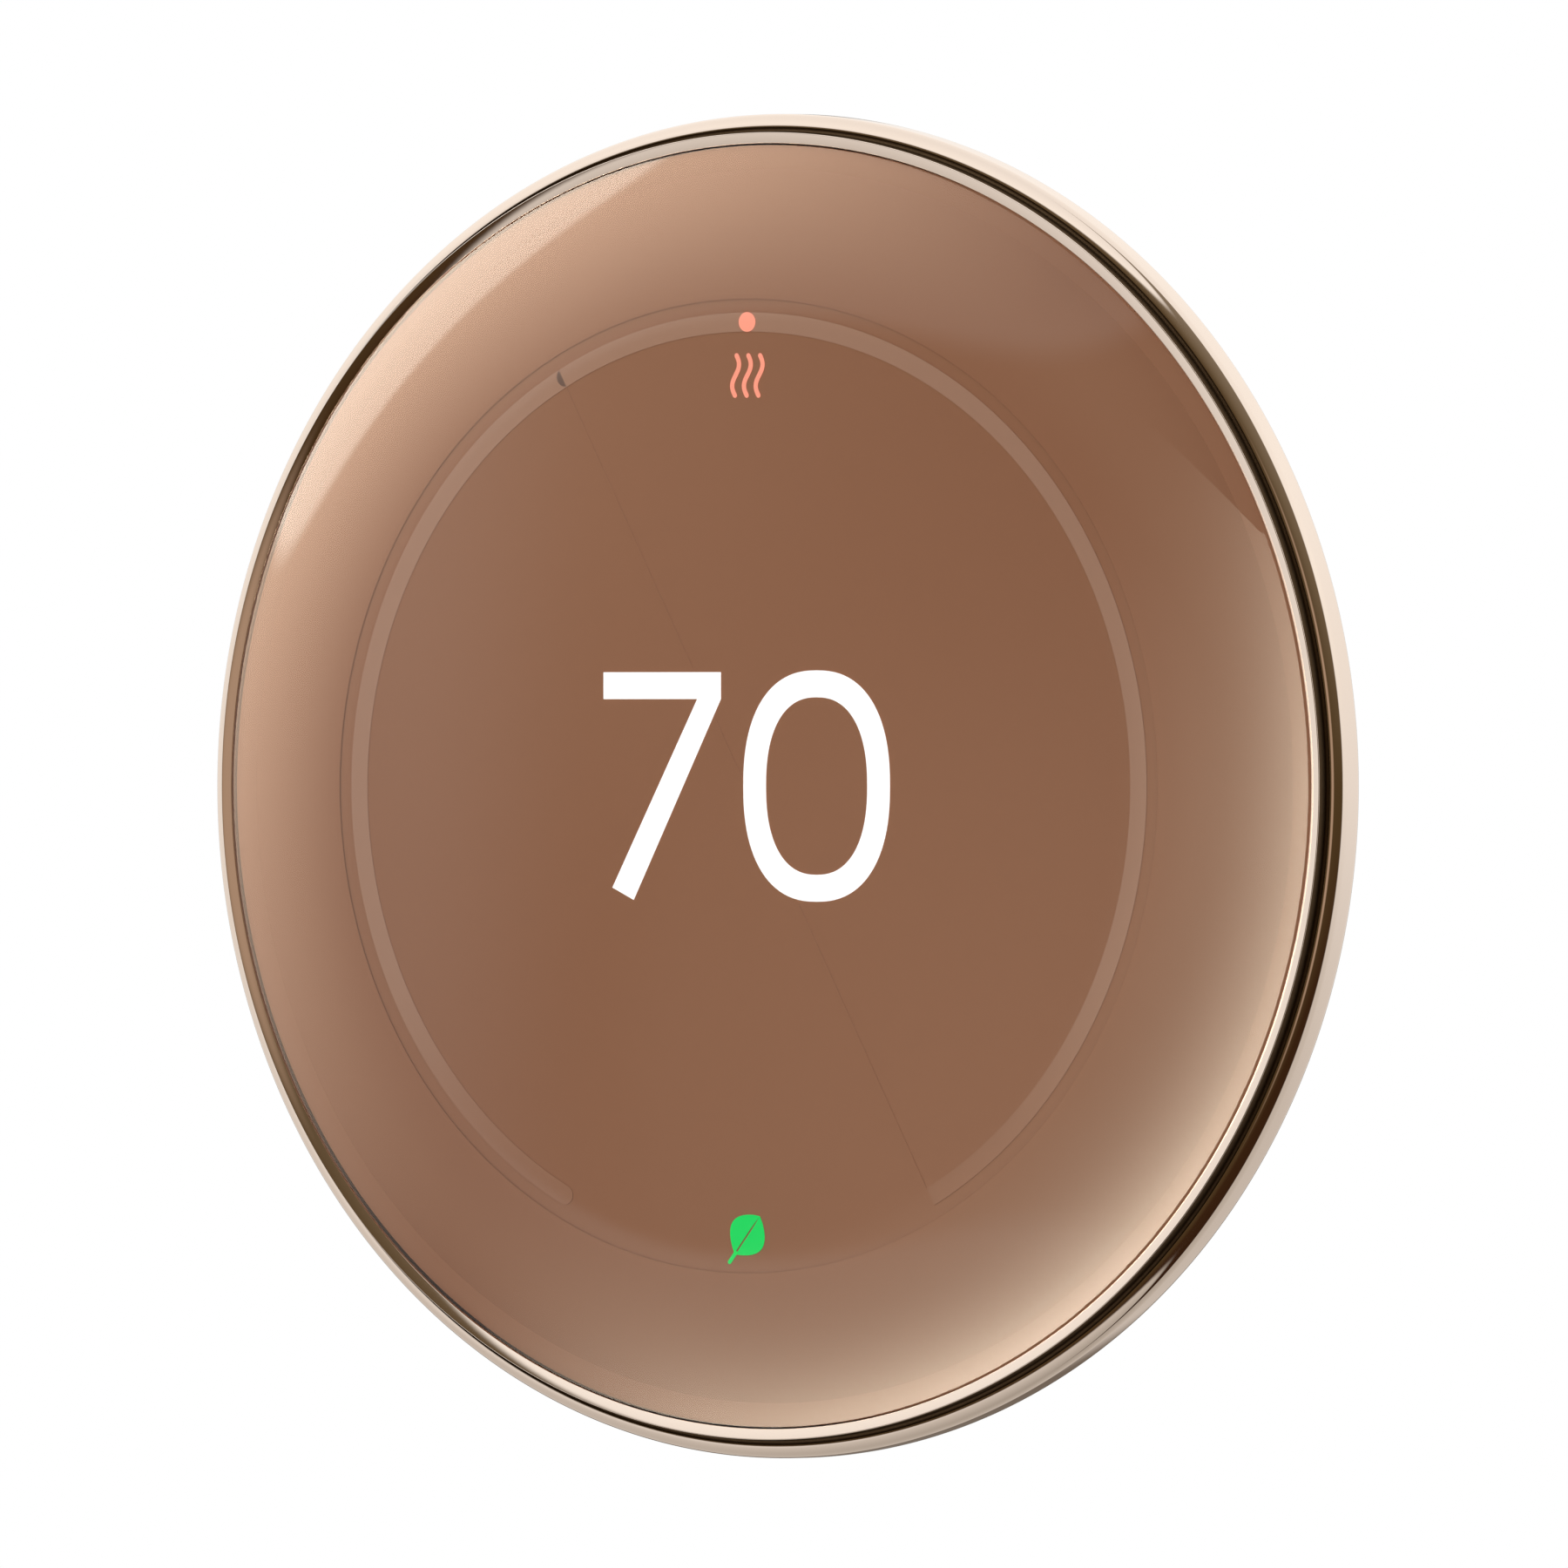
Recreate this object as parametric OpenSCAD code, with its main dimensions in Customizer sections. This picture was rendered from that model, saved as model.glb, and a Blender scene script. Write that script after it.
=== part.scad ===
// Round wall thermostat: a head with a domed lens and a turning ring, on a screwed wall base.
// The wall is the plane Y = 0 and the lens faces -Y, with +Z up.
// Modules draw in a local frame, X right, Y up and Z out from the wall, and upright() stands them up.

/* [Overall] */
// Outer diameter of the turning ring
ring_d = 98; // [90:1:118]
// Depth from the wall to the middle of the lens
total_depth = 27; // [26:0.2:33]

/* [Lens] */
// Height of the dome above the plane of its rim
lens_rise = 5.4; // [4.5:0.1:6]
// Thickness of the lens in its sloping shoulder
lens_t = 1.5; // [1.2:0.1:1.7]
// Height of the straight edge under the dome
lens_edge_h = 0.7; // [0.5:0.1:1]
// Radius of the nearly flat crown
crown_r = 600; // [400:50:900]
// Radial width of the sloping shoulder
shoulder_w = 13.65; // [12:0.05:15]
// Gap all round between the lens and the ring
lens_gap = 0.2; // [0.15:0.05:0.4]
// Thickness of the gasket under the lens
gasket_t = 0.3; // [0.2:0.1:0.5]

/* [Ring] */
// Width of the front lip
lip_w = 0.55; // [0.5:0.05:0.9]
// Radius on the lip's two front corners
lip_round = 0.1; // [0.06:0.02:0.24]
// Width of the groove behind the lip
groove_w = 0.65; // [0.4:0.05:1]
// Depth of the bead's front edge behind the lip
bead_back = 0.85; // [0.6:0.05:1.1]
// Radius of the rounded bead
bead_r = 0.95; // [0.7:0.05:1.2]
// Radius on the ring's rear corner
rear_round = 0.8; // [0.3:0.1:0.9]
// Radial depth of the flange that the rollers run in
track_w = 1.85; // [1.6:0.05:2.2]
// Height of that flange
track_h = 2; // [1.6:0.1:2.4]
// Thickness of the printed code strip
strip_t = 0.1; // [0.05:0.01:0.15]

/* [Display] */
// Diameter of the display panel
display_d = 72; // [60:1:72.4]
// Height of the display's face above the lens rim
display_up = 2.6; // [2.2:0.1:2.8]
// Thickness of the display panel
display_t = 1.95; // [1.4:0.05:2]
// Thickness of the backlight
backlight_t = 1.85; // [1.2:0.05:2]
// Wall of the metal tray behind the display
tray_wall = 0.6; // [0.4:0.1:0.8]
// Floor of that tray
tray_floor = 0.4; // [0.3:0.1:0.5]

/* [Bearing] */
// Diameter of a guide roller
roller_d = 4.4; // [3.6:0.1:5]
// Diameter of a roller's pin
roller_pin_d = 1.5; // [1:0.1:1.8]
// Thickness of the carrier's flange
flange_t = 0.7; // [0.6:0.1:0.8]
// Thickness of the ring's retainer plate
retainer_t = 0.6; // [0.4:0.1:0.8]
// Radial overlap of the retainer plate on the ring's flange
retainer_lap = 1; // [0.8:0.1:1.2]
// Wall of the carrier round the display tray
carrier_wall = 0.8; // [0.6:0.1:1]

/* [Press] */
// Travel of the front when it is pressed
press_travel = 0.5; // [0.3:0.1:0.7]
// Distance of the shoulder screws from the middle
post_at = 34; // [33.8:0.1:34.6]
// Diameter of a shoulder screw's shoulder
shoulder_d = 2; // [1.6:0.1:2.2]
// Diameter of a shoulder screw's head
shoulder_head_d = 3.8; // [3.4:0.1:4]
// Wire diameter of a return spring
spring_wire_d = 0.4; // [0.3:0.05:0.45]
// Height of the push switch's body
switch_h = 1.6; // [1.2:0.1:2]
// Diameter of the push switch's plunger
plunger_d = 3.4; // [2.4:0.1:4]

/* [Rear housing] */
// Wall of the bowl
bowl_wall = 1.3; // [1:0.1:1.6]
// Radius of the bowl's curve
bowl_curve = 16; // [14:0.5:24]
// Thickness of the wall behind the battery
rear_wall_t = 1.4; // [1:0.1:1.8]
// Wall of the skirt over the base
skirt_wall = 1.4; // [1:0.1:1.8]
// Gap between the skirt and the wall behind
skirt_up = 1.2; // [0.6:0.1:2]

/* [Boards] */
// Diameter of the main circuit board
board_d = 62; // [56:1:62]
// Thickness of both circuit boards
board_t = 1; // [0.8:0.1:1.2]
// Width of the battery
battery_w = 40; // [30:1:40]
// Height of the battery
battery_l = 25; // [20:1:25]
// Thickness of the battery
battery_t = 4; // [3:0.1:4.3]

/* [Base] */
// Diameter of the base
base_d = 71.2; // [70:0.2:86]
// Depth of the base
base_h = 8.5; // [8.4:0.1:8.8]
// Thickness of the base's floor
base_floor = 2; // [1.6:0.1:2.2]
// Wall of the base
base_wall = 1.4; // [1:0.1:1.8]
// Diameter of the hole that the house wires come through
wire_hole_d = 19; // [14:0.5:22]
// Distance between the two wall screw holes
screw_spacing = 56; // [54:0.5:57]
// Diameter of a wall screw hole
screw_hole_d = 4.4; // [3.6:0.1:5]

/* [Terminals] */
// Distance from one terminal to the next
terminal_pitch = 5; // [4.4:0.1:5]
// Width of a terminal block
block_w = 11; // [10:0.5:12]
// Diameter of a wire entry
entry_d = 1.8; // [1.4:0.1:2]
// Width of a release tab
tab_w = 3.5; // [2.8:0.1:3.6]
// Length of a release tab
tab_l = 4.6; // [4:0.1:5]
// Travel of a release tab
tab_travel = 1; // [0.6:0.1:1.2]

/* [Hidden] */

// Clearances
eps = 0.01;
over = 1;
touch_gap = 0.05;
glide_gap = 0.1;
running_gap = 0.05;
roll_gap = 0.03;
loose_gap = 0.3;
head_gap = 0.7;
tab_gap = 0.15;
screw_gap = 0.2;
skirt_gap = 0.4;
pocket_gap = 0.35;
plug_gap = 0.2;
liquid_gap = 0.02;

// Radii of the ring and what sits inside it
ring_r = ring_d / 2;
ring_face_r = ring_r - bead_r - groove_w - lip_w;
lens_r = ring_face_r - lens_gap;
track_r = ring_face_r - track_w;
roller_at = track_r - roller_d / 2 - roll_gap;
retainer_r = track_r + retainer_lap;
rollers = 6;
roller_turn = 360 / rollers;
lens_seat = 0.35;
flange_r = ring_face_r - lens_gap - lens_seat;
gasket_w = 1.35;
retainer_in = 2.2;

// Heights, counted forward from the wall
z_rim = total_depth - lens_rise;
z_lens_back = z_rim - lens_edge_h;
z_flange_top = z_lens_back - gasket_t;
z_flange = z_flange_top - flange_t;
z_track_top = z_flange - glide_gap;
z_ring_back = z_track_top - track_h;
z_retainer_top = z_ring_back - glide_gap;
z_retainer = z_retainer_top - retainer_t;
z_housing_rim = z_ring_back - press_travel - loose_gap;
z_pocket = z_retainer - press_travel - loose_gap;
z_display = z_rim + display_up;
z_panel = z_display - display_t;
z_backlight = z_panel - touch_gap - backlight_t;
z_tray = z_backlight - touch_gap - tray_floor;
carrier_floor_t = 0.8;
z_carrier = z_tray - carrier_floor_t;
press_pad_h = 0.2;
z_pad = z_carrier - press_pad_h;
plunger_up = 1;
z_board_top = z_pad - touch_gap - plunger_up - switch_h;
z_board = z_board_top - board_t;
z_rear = base_h + head_gap;
z_rear_inside = z_rear + rear_wall_t;

// Dome of the lens: a crown and a shoulder that meet in a smooth line
join_r = lens_r - shoulder_w;
join_sin = join_r / crown_r;
join_cos = sqrt(1 - join_sin * join_sin);
z_crown_centre = total_depth - crown_r;
z_join = z_crown_centre + crown_r * join_cos;
drop = z_rim - z_join;
shoulder_r = -(shoulder_w * shoulder_w + drop * drop) / (2 * (shoulder_w * join_sin + drop * join_cos));
shoulder_centre = [join_r - shoulder_r * join_sin, z_join - shoulder_r * join_cos];

// Display stack and carrier
panel_r = display_d / 2;
tray_room = 0.5;
tray_in_r = panel_r + tray_room;
tray_r = tray_in_r + tray_wall;
carrier_in_r = tray_r + loose_gap;
carrier_out_r = carrier_in_r + carrier_wall;
tray_low = 0.8;
tray_top = z_display - tray_low;

// Shoulder screws, their posts and the return springs
post_count = 3;
post_r = 3.2;
boss_r = 2.4;
web_t = 1.6;
shoulder_head_h = 1;
z_boss = z_board_top - touch_gap;
spring_l = 2.6;
z_web_top = z_boss - spring_l;
z_web = z_web_top - web_t;
counterbore_r = shoulder_head_d / 2 + loose_gap;
thread_step = 0.4;
shoulder_thread_d = shoulder_d - thread_step;
shoulder_thread_l = 1.8;
spring_mean_r = shoulder_d / 2 + loose_gap + spring_wire_d / 2;
spring_turns = 3;
spring_steps = 14;
spring_sides = 8;

// Rear housing
base_r = base_d / 2;
skirt_in_r = base_r + skirt_gap;
skirt_r = skirt_in_r + skirt_wall;
foot_slope = 1;
rim_in = 1.1;
bowl_rim_r = ring_r - rim_in;
bowl_foot_r = skirt_r + foot_slope;
bowl_a = [bowl_foot_r, z_rear];
bowl_b = [bowl_rim_r, z_housing_rim];
bowl_half = norm(bowl_b - bowl_a) / 2;
bowl_dir = (bowl_b - bowl_a) / (2 * bowl_half);
bowl_centre = (bowl_a + bowl_b) / 2
    + sqrt(bowl_curve * bowl_curve - bowl_half * bowl_half) * [-bowl_dir[1], bowl_dir[0]];
pocket_r = retainer_r + pocket_gap;

// Small screws
board_post_at = 27;
board_post_r = 2;
board_screw_r = 0.8;
board_screw_head_r = 1.7;
board_screw_head_h = 1;
board_screw_l = 4;
base_post_r = 2.2;
base_screw_r = 0.95;
base_screw_head_r = 1.8;
base_screw_head_h = 1.2;
retainer_screw_r = 0.7;
retainer_screw_head_r = 1.3;
retainer_screw_head_h = 0.8;
retainer_boss_r = 1.6;
slot_w = 0.5;
slot_d = 0.4;
slot_share = 0.7;

// Base
base_post_h = 0.6;
z_base_board = base_floor + base_post_h;
z_base_board_top = z_base_board + board_t;
base_board_gap = 1.2;
base_board_r = base_r - base_wall - base_board_gap;
base_screw_at = [13, 26];
wall_boss_r = 4.6;
wall_boss_h = 1.4;
wire_board_gap = 1;
boss_board_gap = 0.5;
notch_more = 0.9;

// Terminal blocks
terminal_count = 6;
block_end = 0.6;
block_l = terminal_count * terminal_pitch + 2 * block_end;
block_h = 4.4;
block_in = 15;
block_mid = block_in + block_w / 2;
z_block_top = z_base_board_top + block_h;
tab_in = 7;
tab_at = block_in + tab_in;
tab_proud = 0.6;
tab_h = 2.7;
z_tab_top = z_block_top + tab_proud;
z_tab = z_tab_top - tab_h;
z_cavity_top = z_tab;
cavity_more = 2;
cavity_l = tab_l + cavity_more;
cavity_w = tab_w + 2 * tab_gap;
entry_up = 1.15;
clamp_t = 0.3;
clamp_gap = 0.2;
clamp_dip = 0.2;
clamp_l = cavity_l - 3 * clamp_gap;
clamp_w = cavity_w - 2 * clamp_gap;
clamp_rise = z_cavity_top - tab_travel - tab_gap - z_base_board_top;
dish_r = 7;
dish_d = 0.4;

// Level
level_at = 17.5;
vial_r = 2.2;
vial_wall = 0.5;
vial_half = 7;
holder_end = 1.5;
holder_floor = 0.3;
holder_half_w = 2.9;
z_vial = z_base_board_top + holder_floor + vial_r;
bubble_r = 0.95;
bubble_half = 1.3;

// Socket and plug
plug_at = -17.5;
plug_w = 20;
plug_l = 6;
pin_pitch = 2.54;
pin_columns = 6;
pin_size = 0.64;
pin_room = 0.33;
socket_h = 5.1;
socket_floor = 0.6;
z_socket_top = z_base_board_top + socket_h;
z_plug = z_socket_top + loose_gap;
pin_up = 1.2;
z_pin = z_base_board_top + pin_up;
pin_sunk = 2;

// Retention clips
clip_w = 6;
clip_t = 0.4;
clip_low = 3.2;
clip_high = 7.6;
clip_in = 1.6;
clip_proud = 0.1;
clip_slant = 1.4;
clip_room = 0.8;
clip_side = 0.5;
clip_turns = [30, 150, 210, 330];

// Parts on the main board
can_t = 0.25;
can_h = 1.6;
cans = [[-15.5, 8, 17, 15], [15.5, 8, 15, 14]];
chips_front = [[-15.5, 8, 9, 9], [15.5, 8, 8, 8], [-12, -13, 9, 7], [11, -14, 7, 7], [21, -8, 4, 3],
    [-22, -9, 4, 4]];
chips_back = [[-25, 4, 3, 4], [9, -24, 6, 3], [-9, -24, 5, 3]];
chip_h = 1;
coil_h = 0.6;
switch_w = 6;
lead_r = 0.5;
lead_gap = 1.6;
lead_out = 2;
lead_sunk = 0.2;
lead_plug = [2.2, 4.2, 1.4];
switch_floor = 0.3;
sounder_at = [0, 20.5];
sounder_r = 6;
sounder_t = 1.4;
sounder_rim = 1.2;
thermo_at = [17, -25.5];
thermo_size = [8, 6, 0.8];
thermo_chip = [3, 3, 0.9];

// Sensors in front
sensor_r_in = 38.8;
sensor_w = 3.4;
sensor_half_turn = 11;
sensor_t = 0.6;
sensor_chip = [3.2, 2.8, 0.6];
light_half_turn = 4;
light_dome_r = 0.8;
pad_rim = 1;
encoder_size = [3, 1.6];
encoder_turn = 20;
flex_w = 12;
flex_t = 0.15;
flex_at = -8;
flex_bend = 0.55;
flex_slot = 1.4;
flex_socket = [14, 2.4, 0.9];
flex_side = 0.5;
flex_play = 0.1;
flex_seat = 0.4;
flex_up = 0.45;
flex_clear = 0.2;
encoder_in = 0.1;

module upright() {
    rotate([90, 0, 0]) children();
}

// A tube or, with no inside radius, a disc
module washer(outside, inside, low, high) {
    translate([0, 0, low]) difference() {
        cylinder(r = outside, h = high - low, $fn = 120);
        translate([0, 0, -eps]) cylinder(r = inside, h = high - low + 2 * eps, $fn = 120);
    }
}

module disc(radius, low, high) {
    translate([0, 0, low]) cylinder(r = radius, h = high - low, $fn = 96);
}

// A block given by its middle in X and Y, its size and its two heights
module block(at, size, low, high) {
    translate([at[0] - size[0] / 2, at[1] - size[1] / 2, low]) cube([size[0], size[1], high - low]);
}

module around(count, radius, start = 0) {
    for (i = [0:count - 1]) rotate([0, 0, start + i * 360 / count]) translate([radius, 0, 0]) children();
}

// A part of a flat ring, as wide on each side of its middle line as half_turn says
module arc_plate(inside, width, half_turn, low, high) {
    rotate([0, 0, -half_turn]) translate([0, 0, low]) rotate_extrude(angle = 2 * half_turn, $fn = 180)
        translate([inside, 0]) square([width, high - low]);
}

// A screw that points to +Z, its head below z
module screw(shaft_r, shaft_l, head_r, head_h) {
    difference() {
        translate([0, 0, -head_h]) cylinder(r = head_r, h = head_h, $fn = 48);
        translate([0, 0, -head_h - eps]) cross_slot(head_r);
    }
    cylinder(r = shaft_r, h = shaft_l, $fn = 32);
}

module cross_slot(head_r) {
    for (turn = [0, 90]) rotate([0, 0, turn])
        translate([-slot_share * head_r, -slot_w / 2, 0])
            cube([2 * slot_share * head_r, slot_w, slot_d + eps]);
}

// The base's pieces

module base_corners() {
    for (side = [-1, 1]) for (end = [-1, 1])
        translate([side * base_screw_at[0], end * base_screw_at[1], 0]) children();
}

module wall_screw_places() {
    for (end = [-1, 1]) translate([0, end * screw_spacing / 2, 0]) children();
}

// The room round one clip, grown by more on every side
module clip_notches(more, low, high) {
    for (turn = clip_turns) rotate([0, 0, turn])
        block([base_r, 0], [2 * (clip_in + clip_room + more), clip_w + 2 * (clip_side + more)], low, high);
}

module base_plate() {
    color("gainsboro") upright() difference() {
        union() {
            washer(base_r, base_r - base_wall, 0, base_h);
            disc(base_r - base_wall / 2, 0, base_floor);
            wall_screw_places() disc(wall_boss_r, base_floor - eps, base_floor + wall_boss_h);
            base_corners() disc(base_post_r, base_floor - eps, z_base_board);
        }
        disc(wire_hole_d / 2, -over, base_floor + over);
        wall_screw_places() disc(screw_hole_d / 2, -over, base_h);
        base_corners() disc(base_screw_r, base_floor / 2, base_h);
        clip_notches(0, base_floor, base_h + over);
    }
}

module base_board() {
    color("darkgreen") upright() difference() {
        disc(base_board_r, z_base_board, z_base_board_top);
        disc(wire_hole_d / 2 + wire_board_gap, 0, base_h);
        wall_screw_places() disc(wall_boss_r + boss_board_gap, 0, base_h);
        base_corners() disc(base_screw_r + screw_gap, 0, base_h);
        clip_notches(notch_more, 0, base_h);
    }
}

module base_screws() {
    color("silver") upright() base_corners() translate([0, 0, z_base_board_top]) rotate([180, 0, 0])
        screw(base_screw_r, z_base_board_top - base_floor / 2 - glide_gap, base_screw_head_r,
            base_screw_head_h);
}

// Places of one side's terminals, from the top down
module terminal_row() {
    for (i = [0:terminal_count - 1]) translate([0, terminal_y(i), 0]) children();
}

function terminal_y(i) = ((terminal_count - 1) / 2 - i) * terminal_pitch;

module terminal_block() {
    difference() {
        block([block_mid, 0], [block_w, block_l], z_base_board_top, z_block_top);
        terminal_row() {
            translate([block_in - over, 0, z_base_board_top + entry_up]) rotate([0, 90, 0])
                cylinder(r = entry_d / 2, h = tab_at - block_in, $fn = 32);
            block([tab_at, 0], [cavity_l, cavity_w], z_base_board_top - over, z_cavity_top + eps);
            block([tab_at, 0], [tab_l + 2 * tab_gap, tab_w + 2 * tab_gap], z_cavity_top, z_block_top + over);
        }
    }
}

module terminal_block_left() {
    color("whitesmoke") upright() mirror([1, 0, 0]) terminal_block();
}

module terminal_block_right() {
    color("whitesmoke") upright() terminal_block();
}

// One bent strip of spring metal under each tab
module clamp() {
    translate([tab_at - clamp_l / 2, clamp_w / 2, z_base_board_top]) rotate([90, 0, 0])
        linear_extrude(clamp_w) polygon([
            [0, 0], [clamp_l, 0], [clamp_l, clamp_rise], [clamp_l / 2, clamp_rise - clamp_dip],
            [clamp_l / 2, clamp_rise - clamp_dip - clamp_t], [clamp_l - clamp_t, clamp_rise - clamp_t],
            [clamp_l - clamp_t, clamp_t], [0, clamp_t]
        ]);
}

module terminal_clamps() {
    color("goldenrod") upright() terminal_row() {
        clamp();
        mirror([1, 0, 0]) clamp();
    }
}

// Tabs are numbered down the left side and then down the right side
module terminal_tab(number) {
    index = (number - 1) % terminal_count;
    side = number > terminal_count ? 1 : -1;
    color("lightgray") upright() translate([side * tab_at, terminal_y(index), 0]) difference() {
        block([0, 0], [tab_l, tab_w], z_tab, z_tab_top);
        translate([0, tab_w, z_tab_top + dish_r - dish_d]) rotate([90, 0, 0])
            cylinder(r = dish_r, h = 2 * tab_w, $fn = 96);
    }
}

module level_holder() {
    color("whitesmoke") upright() translate([0, level_at, 0]) {
        block([0, 0], [2 * (vial_half + holder_end), 2 * holder_half_w],
            z_base_board_top, z_base_board_top + holder_floor);
        for (side = [-1, 1])
            block([side * (vial_half + holder_end / 2), 0], [holder_end, 2 * holder_half_w],
                z_base_board_top, z_vial + vial_r);
    }
}

module along_level(radius, half) {
    translate([-half, level_at, z_vial]) rotate([0, 90, 0]) cylinder(r = radius, h = 2 * half, $fn = 48);
}

module level_vial() {
    color("lightcyan") upright() difference() {
        along_level(vial_r, vial_half);
        along_level(vial_r - vial_wall, vial_half + over);
    }
}

module level_liquid() {
    color("yellowgreen") upright() difference() {
        along_level(vial_r - vial_wall - liquid_gap, vial_half);
        translate([0, 0, vial_r - vial_wall - bubble_r / 2]) {
            along_level(bubble_r, bubble_half);
            for (side = [-1, 1])
                translate([side * bubble_half, level_at, z_vial]) sphere(r = bubble_r, $fn = 48);
        }
    }
}

// Pins stand in two rows in the socket and the plug
module pin_places() {
    for (column = [0:pin_columns - 1]) for (row = [-0.5, 0.5])
        translate([(column - (pin_columns - 1) / 2) * pin_pitch, plug_at + row * pin_pitch, 0]) children();
}

module base_socket() {
    color("dimgray") upright() difference() {
        block([0, plug_at], [plug_w, plug_l], z_base_board_top, z_socket_top);
        pin_places()
            block([0, 0], [pin_size + 2 * pin_room, pin_size + 2 * pin_room],
                z_base_board_top + socket_floor, z_socket_top + over);
    }
}

// A bowed leaf in each notch of the base's wall grips the inside of the skirt
module retention_clips() {
    crest = base_r + clip_proud;
    foot = base_r - clip_in;
    color("silver") upright() for (turn = clip_turns) rotate([0, 0, turn])
        translate([0, clip_w / 2, 0]) rotate([90, 0, 0]) linear_extrude(clip_w) polygon([
            [foot, base_floor], [foot + clip_t, base_floor], [foot + clip_t, clip_low],
            [crest, (clip_low + clip_high) / 2], [foot + clip_t, clip_high],
            [foot, clip_high], [crest - clip_slant * clip_t, (clip_low + clip_high) / 2], [foot, clip_low]
        ]);
}

// The head's pieces

module bowl_outline() {
    difference() {
        translate(bowl_centre) circle(r = bowl_curve, $fn = 200);
        translate([bowl_centre[0] - 2 * bowl_curve, z_housing_rim])
            square([4 * bowl_curve, 2 * bowl_curve]);
    }
    translate([0, z_rear]) square([bowl_centre[0], z_housing_rim - z_rear]);
}

module bowl_inside() {
    intersection() {
        translate(bowl_centre) circle(r = bowl_curve - bowl_wall, $fn = 200);
        translate([0, z_rear_inside]) square([2 * ring_r, 2 * bowl_curve]);
    }
    translate([0, z_rear_inside]) square([bowl_centre[0], 2 * bowl_curve]);
    translate([0, z_pocket]) square([pocket_r, 2 * bowl_curve]);
}

module housing_shell() {
    rotate_extrude($fn = 240) difference() {
        union() {
            intersection() {
                bowl_outline();
                translate([0, z_rear]) square([2 * ring_r, 2 * bowl_curve]);
            }
            translate([skirt_in_r, skirt_up]) square([skirt_wall, z_rear - skirt_up + rear_wall_t / 2]);
            polygon([[skirt_r - eps, z_rear - foot_slope], [skirt_r, z_rear - foot_slope],
                [bowl_foot_r, z_rear], [skirt_r - eps, z_rear + eps]]);
        }
        bowl_inside();
    }
}

module board_corners() {
    around(4, board_post_at, 45) children();
}

module rear_housing() {
    color("tan") upright() difference() {
        union() {
            housing_shell();
            around(post_count, post_at, 90) disc(post_r, z_rear + rear_wall_t / 2, z_web_top);
            board_corners() disc(board_post_r, z_rear + rear_wall_t / 2, z_board);
        }
        around(post_count, post_at, 90) {
            disc(counterbore_r, z_rear - over, z_web);
            disc(shoulder_d / 2 + running_gap, z_rear, z_web_top + over);
        }
        board_corners() disc(board_screw_r, z_board - board_screw_l, z_board + over);
        block([0, plug_at], [plug_w + 2 * plug_gap, plug_l + 2 * plug_gap],
            z_rear - over, z_rear_inside + over);
    }
}

module main_board() {
    color("darkgreen") upright() difference() {
        disc(board_d / 2, z_board, z_board_top);
        board_corners() disc(board_screw_r + screw_gap, z_board - over, z_board_top + over);
    }
}

module board_screws() {
    color("silver") upright() board_corners() translate([0, 0, z_board_top]) rotate([180, 0, 0])
        screw(board_screw_r, board_screw_l + board_t - screw_gap, board_screw_head_r, board_screw_head_h);
}

module board_chips() {
    color("dimgray") upright() {
        for (chip = chips_front)
            block([chip[0], chip[1]], [chip[2], chip[3]], z_board_top, z_board_top + chip_h);
        for (chip = chips_back)
            block([chip[0], chip[1]], [chip[2], chip[3]], z_board - coil_h, z_board);
        difference() {
            block([0, flex_at], [flex_socket[0], flex_socket[1]], z_board_top, z_board_top + flex_socket[2]);
            block([0, flex_at], [flex_w + 2 * flex_play, flex_t + flex_play],
                z_board_top + flex_seat, z_board_top + flex_socket[2] + over);
        }
    }
}

module shield_cans() {
    color("silver") upright() for (can = cans) difference() {
        block([can[0], can[1]], [can[2], can[3]], z_board_top, z_board_top + can_h);
        block([can[0], can[1]], [can[2] - 2 * can_t, can[3] - 2 * can_t],
            z_board_top - over, z_board_top + can_h - can_t);
    }
}

module battery() {
    color("lightslategray") upright()
        block([0, 0], [battery_w, battery_l], z_rear_inside, z_rear_inside + battery_t);
}

module battery_lead() {
    wire_z = z_rear_inside + battery_t / 2;
    turn_x = battery_w / 2 + lead_out;
    color("firebrick") upright() {
        for (side = [-1, 1]) translate([0, side * lead_gap / 2, 0]) {
            translate([battery_w / 2, 0, wire_z]) rotate([0, 90, 0])
                cylinder(r = lead_r, h = turn_x - battery_w / 2, $fn = 24);
            translate([turn_x, 0, wire_z]) sphere(r = lead_r, $fn = 24);
            translate([turn_x, 0, wire_z])
                cylinder(r = lead_r, h = z_board - wire_z - lead_plug[2] + lead_sunk, $fn = 24);
        }
        block([turn_x, 0], lead_plug, z_board - lead_plug[2], z_board);
    }
}

module head_plug() {
    color("dimgray") upright() difference() {
        block([0, plug_at], [plug_w, plug_l], z_plug, z_board);
        pin_places() block([0, 0], [pin_size, pin_size], z_plug - over, z_plug + pin_sunk);
    }
}

module plug_pins() {
    color("gold") upright() pin_places()
        block([0, 0], [pin_size, pin_size], z_pin, z_plug + pin_sunk);
}

module push_switch() {
    color("silver") upright() difference() {
        block([0, 0], [switch_w, switch_w], z_board_top, z_board_top + switch_h);
        disc(plunger_d / 2 + running_gap, z_board_top + switch_floor, z_board_top + switch_h + over);
    }
}

module switch_plunger() {
    color("black") upright()
        disc(plunger_d / 2, z_board_top + switch_floor + press_travel + glide_gap, z_pad - touch_gap);
}

module sounder() {
    color("goldenrod") upright() translate(concat(sounder_at, 0)) {
        disc(sounder_r, z_rear_inside, z_rear_inside + sounder_t / 2);
        disc(sounder_r - sounder_rim, z_rear_inside + sounder_t / 2 - eps, z_rear_inside + sounder_t);
    }
}

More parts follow.
